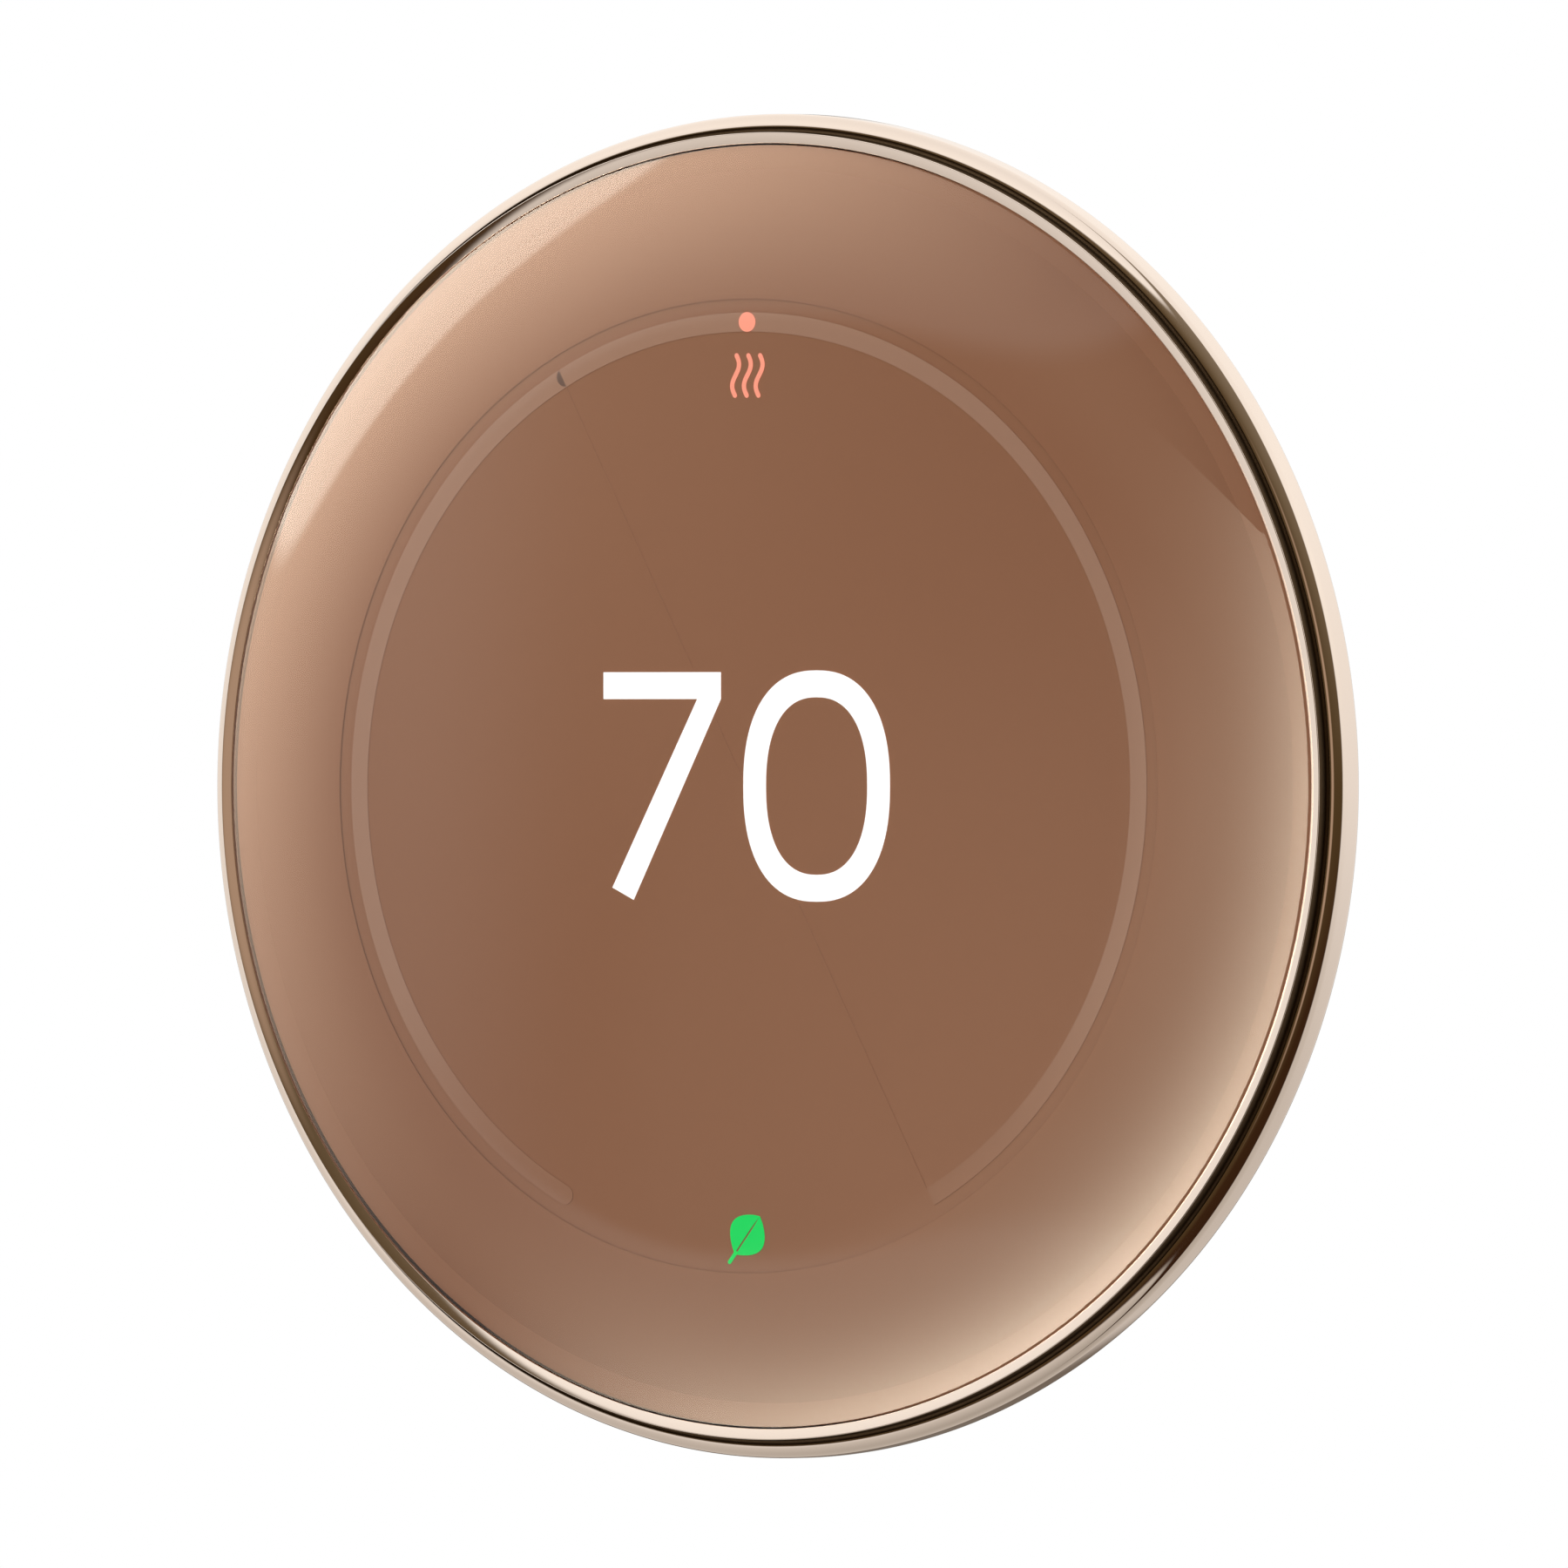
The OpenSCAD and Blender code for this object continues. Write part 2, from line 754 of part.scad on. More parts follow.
module temperature_sensor() {
    color("seagreen") upright() {
        block(thermo_at, thermo_size, z_rear_inside, z_rear_inside + thermo_size[2]);
        block(thermo_at, thermo_chip, z_rear_inside + thermo_size[2] - eps,
            z_rear_inside + thermo_size[2] + thermo_chip[2]);
    }
}

// A helix swept as one closed tube
function spring_point(step, side) =
    let (turn = 360 * step / spring_steps,
         wire_r = spring_wire_d / 2,
         out = spring_mean_r + wire_r * cos(360 * side / spring_sides),
         rise = (spring_l - spring_wire_d) * step / (spring_turns * spring_steps))
    [out * cos(turn), out * sin(turn), rise + wire_r + wire_r * sin(360 * side / spring_sides)];

module return_spring() {
    rings = spring_turns * spring_steps;
    points = [for (step = [0:rings]) for (side = [0:spring_sides - 1]) spring_point(step, side)];
    walls = [for (step = [0:rings - 1]) for (side = [0:spring_sides - 1])
        let (next = (side + 1) % spring_sides, low = step * spring_sides)
        [low + side, low + spring_sides + side, low + spring_sides + next, low + next]];
    start_cap = [for (side = [0:spring_sides - 1]) side];
    end_cap = [for (side = [spring_sides - 1:-1:0]) rings * spring_sides + side];
    polyhedron(points, concat(walls, [start_cap, end_cap]));
}

module return_springs() {
    color("silver") upright() around(post_count, post_at, 90) translate([0, 0, z_web_top]) return_spring();
}

// The front's pieces

module roller_places() {
    around(rollers, roller_at, roller_turn / 2) children();
}

module retainer_boss_places() {
    around(rollers / 2, roller_at, roller_turn) children();
}

module flex_window() {
    block([0, flex_at], [flex_w + 2 * flex_side, flex_slot], z_carrier - over, z_tray + over);
}

module bearing_carrier() {
    color("darkslategray") upright() difference() {
        union() {
            disc(carrier_out_r, z_carrier, z_tray);
            washer(carrier_out_r, carrier_in_r, z_carrier, z_flange_top);
            washer(flange_r, carrier_out_r - eps, z_flange, z_flange_top);
            around(post_count, post_at, 90) disc(boss_r, z_boss, z_carrier + eps);
            retainer_boss_places() disc(retainer_boss_r, z_retainer_top, z_flange + eps);
            disc(plunger_d / 2 + pad_rim, z_pad, z_carrier + eps);
        }
        around(post_count, post_at, 90)
            disc(shoulder_thread_d / 2, z_boss - over, z_boss + shoulder_thread_l);
        retainer_boss_places() disc(retainer_screw_r, z_retainer_top - over, z_flange);
        roller_places() disc(roller_pin_d / 2, z_flange - over, z_flange_top + over);
        encoder_place() block([0, 0], [2 * encoder_size[1], encoder_size[0] + 2 * glide_gap],
            z_flange - over, z_flange_top + over);
        flex_window();
    }
}

module encoder_place() {
    rotate([0, 0, encoder_turn]) translate([flange_r - encoder_in, 0, 0]) children();
}

module encoder_sensor() {
    color("black") upright() encoder_place()
        block([-encoder_size[1] / 2, 0], [encoder_size[1], encoder_size[0]], z_flange, z_flange_top);
}

module retainer_plate() {
    color("silver") upright() difference() {
        washer(retainer_r, roller_at - retainer_in, z_retainer, z_retainer_top);
        roller_places() disc(roller_pin_d / 2, z_retainer - over, z_retainer_top + over);
        retainer_boss_places()
            disc(retainer_screw_r + glide_gap, z_retainer - over, z_retainer_top + over);
    }
}

module retainer_screws() {
    color("silver") upright() retainer_boss_places() translate([0, 0, z_retainer])
        screw(retainer_screw_r, z_flange - z_retainer - screw_gap, retainer_screw_head_r,
            retainer_screw_head_h);
}

module shoulder_screws() {
    color("silver") upright() around(post_count, post_at, 90) {
        translate([0, 0, z_web - touch_gap])
            screw(shoulder_d / 2, z_boss - z_web + touch_gap, shoulder_head_d / 2, shoulder_head_h);
        disc(shoulder_thread_d / 2, z_boss - eps, z_boss + shoulder_thread_l - glide_gap);
    }
}

module roller_pins() {
    color("silver") upright() roller_places() disc(roller_pin_d / 2, z_retainer, z_flange_top);
}

module guide_roller(number) {
    color("white") upright()
        rotate([0, 0, roller_turn * (number - 0.5)]) translate([roller_at, 0, 0])
            washer(roller_d / 2, roller_pin_d / 2 + running_gap,
                z_retainer_top + glide_gap, z_flange - glide_gap);
}

module presence_sensor() {
    color("seagreen") upright() rotate([0, 0, -90]) {
        arc_plate(sensor_r_in, sensor_w, sensor_half_turn, z_flange_top, z_flange_top + sensor_t);
        block([sensor_r_in + sensor_w / 2, 0], [sensor_chip[1], sensor_chip[0]],
            z_flange_top + sensor_t - eps, z_flange_top + sensor_t + sensor_chip[2]);
    }
}

module light_sensor() {
    color("seagreen") upright() rotate([0, 0, 90]) {
        arc_plate(sensor_r_in, sensor_w, light_half_turn, z_flange_top, z_flange_top + sensor_t);
        translate([sensor_r_in + sensor_w / 2, 0, 0])
            disc(light_dome_r, z_flange_top + sensor_t - eps, z_flange_top + sensor_t + sensor_chip[2]);
    }
}

// A ribbon with one bend, from the display down to its socket on the main board
module display_flex() {
    low = z_board_top + flex_up;
    rise = z_tray - low;
    bend_low = low + rise / 3;
    bend_high = z_carrier - flex_clear;
    bend_mid = (bend_low + bend_high) / 2;
    color("darkorange") upright() translate([-flex_w / 2, flex_at, 0]) rotate([90, 0, 90])
        linear_extrude(flex_w) polygon([
            [-flex_t / 2, low], [flex_t / 2, low], [flex_t / 2, bend_low],
            [flex_bend + flex_t / 2, bend_mid], [flex_t / 2, bend_high], [flex_t / 2, z_tray],
            [-flex_t / 2, z_tray], [-flex_t / 2, bend_high], [flex_bend - flex_t / 2, bend_mid],
            [-flex_t / 2, bend_low]
        ]);
}

module display_tray() {
    color("silver") upright() difference() {
        disc(tray_r, z_tray, tray_top);
        disc(tray_in_r, z_tray + tray_floor, z_display + over);
    }
}

module backlight() {
    color("white") upright() disc(panel_r + loose_gap, z_backlight, z_backlight + backlight_t);
}

module display_panel() {
    color("black") upright() disc(panel_r, z_panel, z_display);
}

module lens_gasket() {
    color("black") upright() washer(flange_r, flange_r - gasket_w, z_flange_top, z_lens_back);
}

// The region under the dome, drawn in from its face by inset
module dome_outline(inset) {
    intersection() {
        translate([0, z_crown_centre]) circle(r = crown_r - inset, $fn = 720);
        translate([0, z_lens_back]) square([join_r, 2 * lens_rise]);
    }
    intersection() {
        translate(shoulder_centre) circle(r = shoulder_r - inset, $fn = 240);
        translate([join_r - eps, z_lens_back]) square([shoulder_w + eps, 2 * lens_rise]);
    }
}

module lens() {
    color("sienna") upright() rotate_extrude($fn = 240) difference() {
        union() {
            dome_outline(0);
            translate([join_r, z_lens_back]) square([shoulder_w, lens_edge_h]);
        }
        intersection() {
            translate([0, -eps]) dome_outline(lens_t);
            square([lens_r, z_display]);
        }
    }
}

module dial_ring() {
    bead_at = ring_r - bead_r;
    lip_out = ring_face_r + lip_w;
    z_bead = z_rim - bead_back - bead_r;
    groove_r = groove_w / 2;
    color("tan") upright() rotate_extrude($fn = 240) difference() {
        union() {
            translate([track_r, z_ring_back]) square([track_w + eps, track_h]);
            translate([ring_face_r, z_ring_back]) square([lip_w, z_rim - lip_round - z_ring_back]);
            translate([ring_face_r + lip_round, z_rim - lip_round - eps])
                square([lip_w - 2 * lip_round, lip_round + eps]);
            for (side = [ring_face_r + lip_round, lip_out - lip_round])
                translate([side, z_rim - lip_round]) circle(r = lip_round, $fn = 48);
            translate([lip_out - eps, z_ring_back])
                square([groove_w + 2 * eps, z_bead + bead_r - z_ring_back]);
            translate([bead_at - eps, z_ring_back]) square([bead_r - rear_round + eps, rear_round + eps]);
            translate([ring_r - rear_round, z_ring_back + rear_round]) circle(r = rear_round, $fn = 64);
            translate([bead_at - eps, z_ring_back + rear_round])
                square([bead_r + eps, z_bead - z_ring_back - rear_round]);
            intersection() {
                translate([bead_at, z_bead]) circle(r = bead_r, $fn = 96);
                translate([bead_at - eps, z_bead - eps]) square([bead_r + eps, bead_r + eps]);
            }
        }
        translate([lip_out + groove_r, z_bead + bead_r]) circle(r = groove_r, $fn = 48);
    }
}

module encoder_strip() {
    color("black") upright()
        washer(ring_face_r, ring_face_r - strip_t, z_track_top + touch_gap, z_lens_back - touch_gap);
}

base_plate();
base_board();
base_screws();
terminal_block_left();
terminal_block_right();
terminal_clamps();
terminal_tab(1);  // terminal_tab_1
terminal_tab(2);  // terminal_tab_2
terminal_tab(3);  // terminal_tab_3
terminal_tab(4);  // terminal_tab_4
terminal_tab(5);  // terminal_tab_5
terminal_tab(6);  // terminal_tab_6
terminal_tab(7);  // terminal_tab_7
terminal_tab(8);  // terminal_tab_8
terminal_tab(9);  // terminal_tab_9
terminal_tab(10);  // terminal_tab_10
terminal_tab(11);  // terminal_tab_11
terminal_tab(12);  // terminal_tab_12
level_holder();
level_vial();
level_liquid();
base_socket();
retention_clips();
rear_housing();
main_board();
board_screws();
board_chips();
shield_cans();
battery();
battery_lead();
head_plug();
plug_pins();
push_switch();
switch_plunger();
sounder();
temperature_sensor();
return_springs();
bearing_carrier();
retainer_plate();
retainer_screws();
shoulder_screws();
roller_pins();
guide_roller(1);  // guide_roller_1
guide_roller(2);  // guide_roller_2
guide_roller(3);  // guide_roller_3
guide_roller(4);  // guide_roller_4
guide_roller(5);  // guide_roller_5
guide_roller(6);  // guide_roller_6
encoder_sensor();
presence_sensor();
light_sensor();
display_flex();
display_tray();
backlight();
display_panel();
lens_gasket();
lens();
dial_ring();
encoder_strip();
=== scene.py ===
from math import asin, atan2, cos, degrees, pi, radians, sin, sqrt

import bmesh
import bpy
from mathutils import Matrix, Vector


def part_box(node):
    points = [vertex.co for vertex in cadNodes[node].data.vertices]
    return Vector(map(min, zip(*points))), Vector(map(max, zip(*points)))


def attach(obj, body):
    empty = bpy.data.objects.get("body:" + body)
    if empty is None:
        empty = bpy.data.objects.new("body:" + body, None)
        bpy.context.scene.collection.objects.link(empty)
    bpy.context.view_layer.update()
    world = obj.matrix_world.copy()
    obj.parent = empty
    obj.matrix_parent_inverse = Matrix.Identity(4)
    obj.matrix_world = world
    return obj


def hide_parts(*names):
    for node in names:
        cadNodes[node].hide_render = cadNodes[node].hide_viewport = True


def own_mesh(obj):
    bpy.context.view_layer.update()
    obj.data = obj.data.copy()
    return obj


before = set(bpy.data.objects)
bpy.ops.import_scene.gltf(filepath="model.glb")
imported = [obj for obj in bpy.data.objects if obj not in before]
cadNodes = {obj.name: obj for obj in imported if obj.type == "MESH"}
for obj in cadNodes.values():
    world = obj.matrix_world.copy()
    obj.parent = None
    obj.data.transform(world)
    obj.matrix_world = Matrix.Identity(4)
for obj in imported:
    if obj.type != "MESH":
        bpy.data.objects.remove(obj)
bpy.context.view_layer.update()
mm = 0.001


# ---- measures taken from the frame ----

def outerRadius(node):
    low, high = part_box(node)
    return min(high.x - low.x, high.z - low.z) / 2


def frontOf(node):
    return -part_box(node)[0].y


def backOf(node):
    return -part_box(node)[1].y


# ---- making meshes ----

def arc(centre, radius, fromAngle, toAngle, count):
    # points of a round stretch; 0 degrees points outwards, 90 degrees to the front
    angles = [radians(fromAngle + (toAngle - fromAngle) * i / count) for i in range(count + 1)]
    return [(centre[0] + radius * cos(a), centre[1] + radius * sin(a)) for a in angles]


def asObject(name, made, smoothBelow=30):
    mesh = bpy.data.meshes.new(name)
    made.to_mesh(mesh)
    made.free()
    piece = bpy.data.objects.new(name, mesh)
    bpy.context.scene.collection.objects.link(piece)
    mesh.shade_smooth()
    mesh.set_sharp_from_angle(angle=radians(smoothBelow))
    return piece


def cleaned(made):
    bmesh.ops.remove_doubles(made, verts=made.verts, dist=0.0005 * mm)
    bmesh.ops.dissolve_degenerate(made, edges=made.edges, dist=0.0002 * mm)
    bmesh.ops.recalc_face_normals(made, faces=made.faces)
    return made


def spun(outline, steps=288):
    # outline is a closed loop of (radius, depth from the wall), turned about the thermostat's middle line
    made = bmesh.new()
    corners = [made.verts.new((r, -depth, 0)) for r, depth in outline]
    edges = [made.edges.new(pair) for pair in zip(corners, corners[1:] + corners[:1])]
    bmesh.ops.spin(made, geom=corners + edges, cent=(0, 0, 0), axis=(0, 1, 0), angle=2 * pi, steps=steps,
                   use_merge=True)
    return cleaned(made)


def place(piece, body, slotName, *materials, instead=()):
    if piece.data.materials:
        piece.data.materials.clear()
    for material in materials:
        piece.data.materials.append(material)
    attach(piece, body)
    if instead:
        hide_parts(*instead)
    return piece


# ---- making materials ----

class Signal:
    # one output socket, so that sums on it add Math nodes
    def __init__(self, finish, socket):
        self.finish = finish
        self.socket = socket

    def maths(self, operation, first, second=0.0):
        return self.finish.node("ShaderNodeMath", {"operation": operation}, {0: first, 1: second})

    def __add__(self, other):
        return self.maths("ADD", self, other)

    def __sub__(self, other):
        return self.maths("SUBTRACT", self, other)

    def __rsub__(self, other):
        return self.maths("SUBTRACT", other, self)

    def __mul__(self, other):
        return self.maths("MULTIPLY", self, other)

    def __truediv__(self, other):
        return self.maths("DIVIDE", self, other)

    def __pow__(self, other):
        return self.maths("POWER", self, other)

    __radd__ = __add__
    __rmul__ = __mul__


class Finish:
    def __init__(self, tree):
        self.tree = tree
        self.tree.nodes.clear()

    def node(self, kind, settings=None, sockets=None, out=0):
        made = self.tree.nodes.new(kind)
        for key, value in (settings or {}).items():
            if key == "stops":
                setStops(made.color_ramp, value)
            else:
                setattr(made, key, value)
        for key, value in (sockets or {}).items():
            if isinstance(value, Signal):
                self.tree.links.new(value.socket, made.inputs[key])
            else:
                made.inputs[key].default_value = value
        return Signal(self, made.outputs[out]) if made.outputs else None

    def at(self):
        return self.node("ShaderNodeTexCoord", out=3)

    def axes(self, vector):
        split = self.node("ShaderNodeSeparateXYZ", None, {0: vector})
        outputs = split.socket.node.outputs
        return [Signal(self, outputs[i]) for i in range(3)]

    def step(self, value, low, high):
        # 0 below low, 1 above high, smooth between
        return self.node("ShaderNodeMapRange", {"interpolation_type": "SMOOTHSTEP"},
                         {0: value, 1: low, 2: high})

    def mix(self, factor, first, second):
        return self.node("ShaderNodeMix", {"data_type": "RGBA"}, {0: factor, 6: first, 7: second}, out=2)

    def noise(self, vector, scale, detail=3.0):
        return self.node("ShaderNodeTexNoise", None, {"Vector": vector, "Scale": scale, "Detail": detail})

    def bump(self, height, strength, distance):
        return self.node("ShaderNodeBump", None, {"Height": height, "Strength": strength,
                                                   "Distance": distance})


def setStops(ramp, stops):
    while len(ramp.elements) < len(stops):
        ramp.elements.new(0.5)
    for element, (position, colour) in zip(ramp.elements, stops):
        element.position = position
        element.color = colour


def rgb(red, green, blue):
    # a screen colour, 0 to 255, as a linear one
    def linear(part):
        share = part / 255
        return share / 12.92 if share <= 0.04045 else ((share + 0.055) / 1.055) ** 2.4
    return (linear(red), linear(green), linear(blue), 1)


def material(name, draw):
    made = bpy.data.materials.new(name)
    made.use_nodes = True
    finish = Finish(made.node_tree)
    shader = finish.node("ShaderNodeBsdfPrincipled", None, draw(finish))
    finish.node("ShaderNodeOutputMaterial", None, {0: shader})
    return made


def distanceFromMiddle(finish):
    x, _, z = finish.axes(finish.at())
    return finish.node("ShaderNodeMath", {"operation": "SQRT"}, {0: x * x + z * z})


ringLook = {"tint": (0.86, 0.75, 0.665, 1), "roughness": 0.045, "lineScale": 9000, "lineDepth": 0.00006 * mm}


def drawRingMetal(finish):
    # turned on a lathe, so its faint lines run round it
    _, y, _ = finish.axes(finish.at())
    lines = finish.node("ShaderNodeCombineXYZ", None, {0: distanceFromMiddle(finish), 1: y})
    grain = finish.noise(lines, ringLook["lineScale"], 2.0)
    blush = finish.noise(finish.at(), 60, 2.0)
    warm = tuple(a * b for a, b in zip(ringLook["tint"], (0.985, 0.97, 0.95, 1)))
    return {"Base Color": finish.mix(blush, ringLook["tint"], warm), "Metallic": 1.0,
            "Roughness": ringLook["roughness"] + 0.03 * grain,
            "Normal": finish.bump(grain, 0.15, ringLook["lineDepth"])}


def drawGrooveShade(finish):
    # painted shade: the groove is coloured dark bronze to stand in for the shade that falls in it, so it shows darker
    # than the polished lip and bead
    grain = finish.noise(finish.at(), 4000, 2.0)
    return {"Base Color": finish.mix(grain, (0.17, 0.115, 0.065, 1), (0.14, 0.09, 0.05, 1)), "Metallic": 1.0,
            "Roughness": 0.5 + 0.08 * grain}


# backing is the lacquer's lit colour and shadow its painted shade
lensLook = {"glass": rgb(34, 22, 16), "cover": 0.3, "roughness": 0.012, "index": 1.9,
            "backing": rgb(187, 134, 103), "shadow": rgb(176, 123, 93)}


def drawLensFace(finish):
    # dark clear glass; its gloss shows the studio's lights
    haze = finish.noise(finish.at(), 45, 2.0)
    shade = finish.mix(haze, lensLook["glass"], rgb(44, 29, 21))
    return {"Base Color": shade, "Roughness": lensLook["roughness"] + 0.006 * haze, "IOR": lensLook["index"],
            "Alpha": lensLook["cover"]}


def drawLensInside(finish):
    haze = finish.noise(finish.at(), 80, 2.0)
    return {"Base Color": rgb(200, 170, 150), "Roughness": 0.02 + 0.02 * haze, "IOR": 1.1, "Alpha": 0.02}


def drawBacking(finish):
    # the copper lacquer behind the glass with a faint cloud in it, a slanting band of painted shade across it, and
    # painted shade darkening its outer band
    x, _, z = finish.axes(finish.at())
    slantShade = finish.node("ShaderNodeMath", {"operation": "COSINE"}, {0: (x * 0.79 + z * 0.61) * 62})
    cloud = finish.noise(finish.at(), 26, 1.0)
    shade = finish.mix(0.5 - 0.35 * slantShade + 0.2 * (cloud - 0.5), lensLook["backing"], lensLook["shadow"])
    rimShade = finish.step(distanceFromMiddle(finish), 35.4 * mm, 41 * mm)
    shade = finish.mix(rimShade, shade, tuple(0.94 * part for part in lensLook["backing"][:3]) + (1,))
    return {"Base Color": shade, "Roughness": 0.55, "Specular IOR Level": 0.0}


def drawDisplayFace(finish):
    _, y, _ = finish.axes(finish.at())
    front = finish.step(y * -1, frontOf("display_panel") - 0.06 * mm, frontOf("display_panel") - 0.04 * mm)
    # the display's face takes the lacquer's colour, with its painted shade
    face = drawBacking(finish)
    grain = finish.noise(finish.at(), 3000, 2.0)
    return {"Base Color": finish.mix(front, rgb(17, 17, 19), face["Base Color"]),
            "Roughness": 0.5 + 0.1 * grain, "Specular IOR Level": 0.0}


def glow(name, colour, fade=None):
    # lit dots, as bright as they must be to show this colour through the dark glass
    lit = tuple(part / (1 - lensLook["cover"]) for part in colour[:3]) + (1,)

    def draw(finish):
        dots = finish.noise(finish.at(), 5000, 1.0)
        dim = tuple(0.97 * part for part in lit[:3]) + (1,)
        shade = finish.mix(dots, lit, dim)
        base = tuple(0.6 * part for part in lit[:3]) + (1,)
        if fade:
            _, _, z = finish.axes(finish.at())
            shade = finish.mix(finish.step(z, *fade), tuple(0.25 * part for part in lit[:3]) + (1,), shade)
            # the arc's base takes the lacquer's colour, with its painted shade
            base = drawBacking(finish)["Base Color"]
        return {"Base Color": base, "Roughness": 0.55, "Specular IOR Level": 0.0, "Emission Color": shade,
                "Emission Strength": 1.0 if fade else 0.55}
    return material(name, draw)


# ---- the lens ----

lens = {"radius": outerRadius("lens") + 0.07 * mm, "top": frontOf("lens"), "back": backOf("lens") + 0.02 * mm,
        "rise": 5.4 * mm,
        "crown": 600 * mm, "shoulder": 13.65 * mm, "wall": 1.5 * mm, "air": 0.08 * mm}


def domeArcs():
    # the crown and the shoulder meet without a corner
    rim = lens["top"] - lens["rise"]
    joinR = lens["radius"] - lens["shoulder"]
    turn = asin(joinR / lens["crown"])
    joinDepth = lens["top"] - lens["crown"] * (1 - cos(turn))
    drop = rim - joinDepth
    width = lens["shoulder"]
    bend = -(width ** 2 + drop ** 2) / (2 * (width * sin(turn) + drop * cos(turn)))
    centre = (joinR - bend * sin(turn), joinDepth - bend * cos(turn))
    return rim, turn, bend, centre


def domePoints(inset, count):
    # from the middle out along the crown, then down the shoulder as far as the inset face's own foot
    rim, turn, bend, centre = domeArcs()
    foot = rim if inset == 0 else lens["back"]
    last = asin((foot - centre[1]) / (bend - inset))
    crown = arc((0, lens["top"] - lens["crown"]), lens["crown"] - inset, 90, 90 - degrees(turn), count // 2)
    shoulder = arc(centre, bend - inset, 90 - degrees(turn), degrees(last), count)
    return crown + shoulder[1:]


def makeLens():
    outer = domePoints(0, 40)
    outer[-1] = (lens["radius"], outer[-1][1])
    seat, painted = frontOf("display_panel") + lens["air"], outerRadius("display_panel") - 0.5 * mm
    inner = [(r, depth) for r, depth in domePoints(lens["wall"], 40) if depth < seat]
    flat = [(painted * k / 12, seat) for k in range(12, -1, -1)]
    outline = outer + [(lens["radius"], lens["back"])] + inner[::-1] + [(inner[0][0] - 0.02 * mm, seat)] + flat
    made = spun(outline)
    _, turn, bend, centre = domeArcs()
    for face in made.faces:
        middle = face.calc_center_median()
        r, depth = sqrt(middle.x ** 2 + middle.z ** 2), -middle.y
        onCrown = depth > lens["top"] - 1.2 * mm
        onShoulder = sqrt((r - centre[0]) ** 2 + (depth - centre[1]) ** 2) > bend - 0.5 * lens["wall"]
        face.material_index = 0 if onCrown or (onShoulder and r > centre[0]) else (2 if r > painted else 1)
    piece = asObject("domedLens", made, 12)
    return place(piece, "front", "lens_glass", material("darkGlass", drawLensFace),
                 material("clearInside", drawLensInside), material("copperLacquer", drawBacking),
                 instead=["lens"])


# ---- the display panel behind the lens ----

display = {"radius": outerRadius("display_panel"), "front": frontOf("display_panel"), "back": backOf("display_panel"),
           "edge": 0.12 * mm}


def makeDisplay():
    edge = display["edge"]
    outline = [(0, display["back"]), (display["radius"] - edge, display["back"]),
               (display["radius"], display["back"] + edge), (display["radius"], display["front"] - edge),
               (display["radius"] - edge, display["front"]), (0, display["front"])]
    piece = asObject("displayDisc", spun(outline, 192))
    return place(piece, "front", "display_glass", material("displayFace", drawDisplayFace), instead=["display_panel"])


# ---- the turning ring ----

ring = {"radius": outerRadius("dial_ring"), "front": frontOf("dial_ring"), "back": backOf("dial_ring"),
        "wide": 1.2 * mm, "lipRound": 0.05 * mm, "lipTilt": 13, "groove": 0.4 * mm, "beadBack": 0.85 * mm,
        "bead": 0.95 * mm, "rearRound": 0.8 * mm, "track": 1.85 * mm, "trackHeight": 2 * mm}


def makeRing():
    beadAt = ring["radius"] - ring["bead"]
    lipOut = beadAt - ring["groove"]
    face = beadAt - ring["wide"]
    trackR = face - ring["track"]
    beadTop = ring["front"] - ring["beadBack"]
    soft, tilt = ring["lipRound"], ring["lipTilt"]
    sink = (lipOut - face - 2 * soft) * sin(radians(tilt))   # the lip's face leans in towards the lens
    outline = (
        arc((face + soft, ring["front"] - soft - sink), soft, 180, 90 + tilt, 6)
        + arc((lipOut - soft, ring["front"] - soft), soft, 90 + tilt, 0, 6)
        + arc((lipOut + ring["groove"] / 2, beadTop), ring["groove"] / 2, 180, 360, 16)
        + arc((beadAt, beadTop - ring["bead"]), ring["bead"], 90, 0, 20)
        + arc((ring["radius"] - ring["rearRound"], ring["back"] + ring["rearRound"]), ring["rearRound"], 0, -90, 14)
        + [(trackR, ring["back"]), (trackR, ring["back"] + ring["trackHeight"]),
           (face, ring["back"] + ring["trackHeight"])]
    )
    made = spun(outline, 360)
    for one in made.faces:
        middle = one.calc_center_median()
        r, depth = sqrt(middle.x ** 2 + middle.z ** 2), -middle.y
        # the groove's faces get the painted groove shade
        inGroove = lipOut - 0.02 * mm < r < beadAt + 0.02 * mm and depth > ring["back"] + 0.5 * mm
        one.material_index = 1 if inGroove and depth < ring["front"] - 0.2 * mm else 0
    piece = asObject("turningRing", made)
    return place(piece, "dial", "ring_metal", material("polishedChampagne", drawRingMetal),
                 material("paintedGrooveShade", drawGrooveShade), instead=["dial_ring"])


# ---- the lit marks on the display ----

marks = {"thick": 0.03 * mm, "lift": 0.015 * mm, "arcOut": 34.5 * mm, "arcWidth": 1.4 * mm, "arcGap": 28,
         "dot": 0.72 * mm, "waveAt": 29.9 * mm, "waveWidth": 0.36 * mm, "waveHeight": 2.9 * mm, "wavePitch": 1.02 * mm,
         "waveSwing": 0.3 * mm, "leafAt": -32.7 * mm, "leafLong": 3.5 * mm, "leafWide": 3.2 * mm, "vein": 0.07 * mm}


def markDepth():
    return frontOf("display_panel") + marks["lift"]


def markObject(name, made, finish):
    piece = asObject(name, made, 60)
    return place(piece, "front", "display_glass", finish)


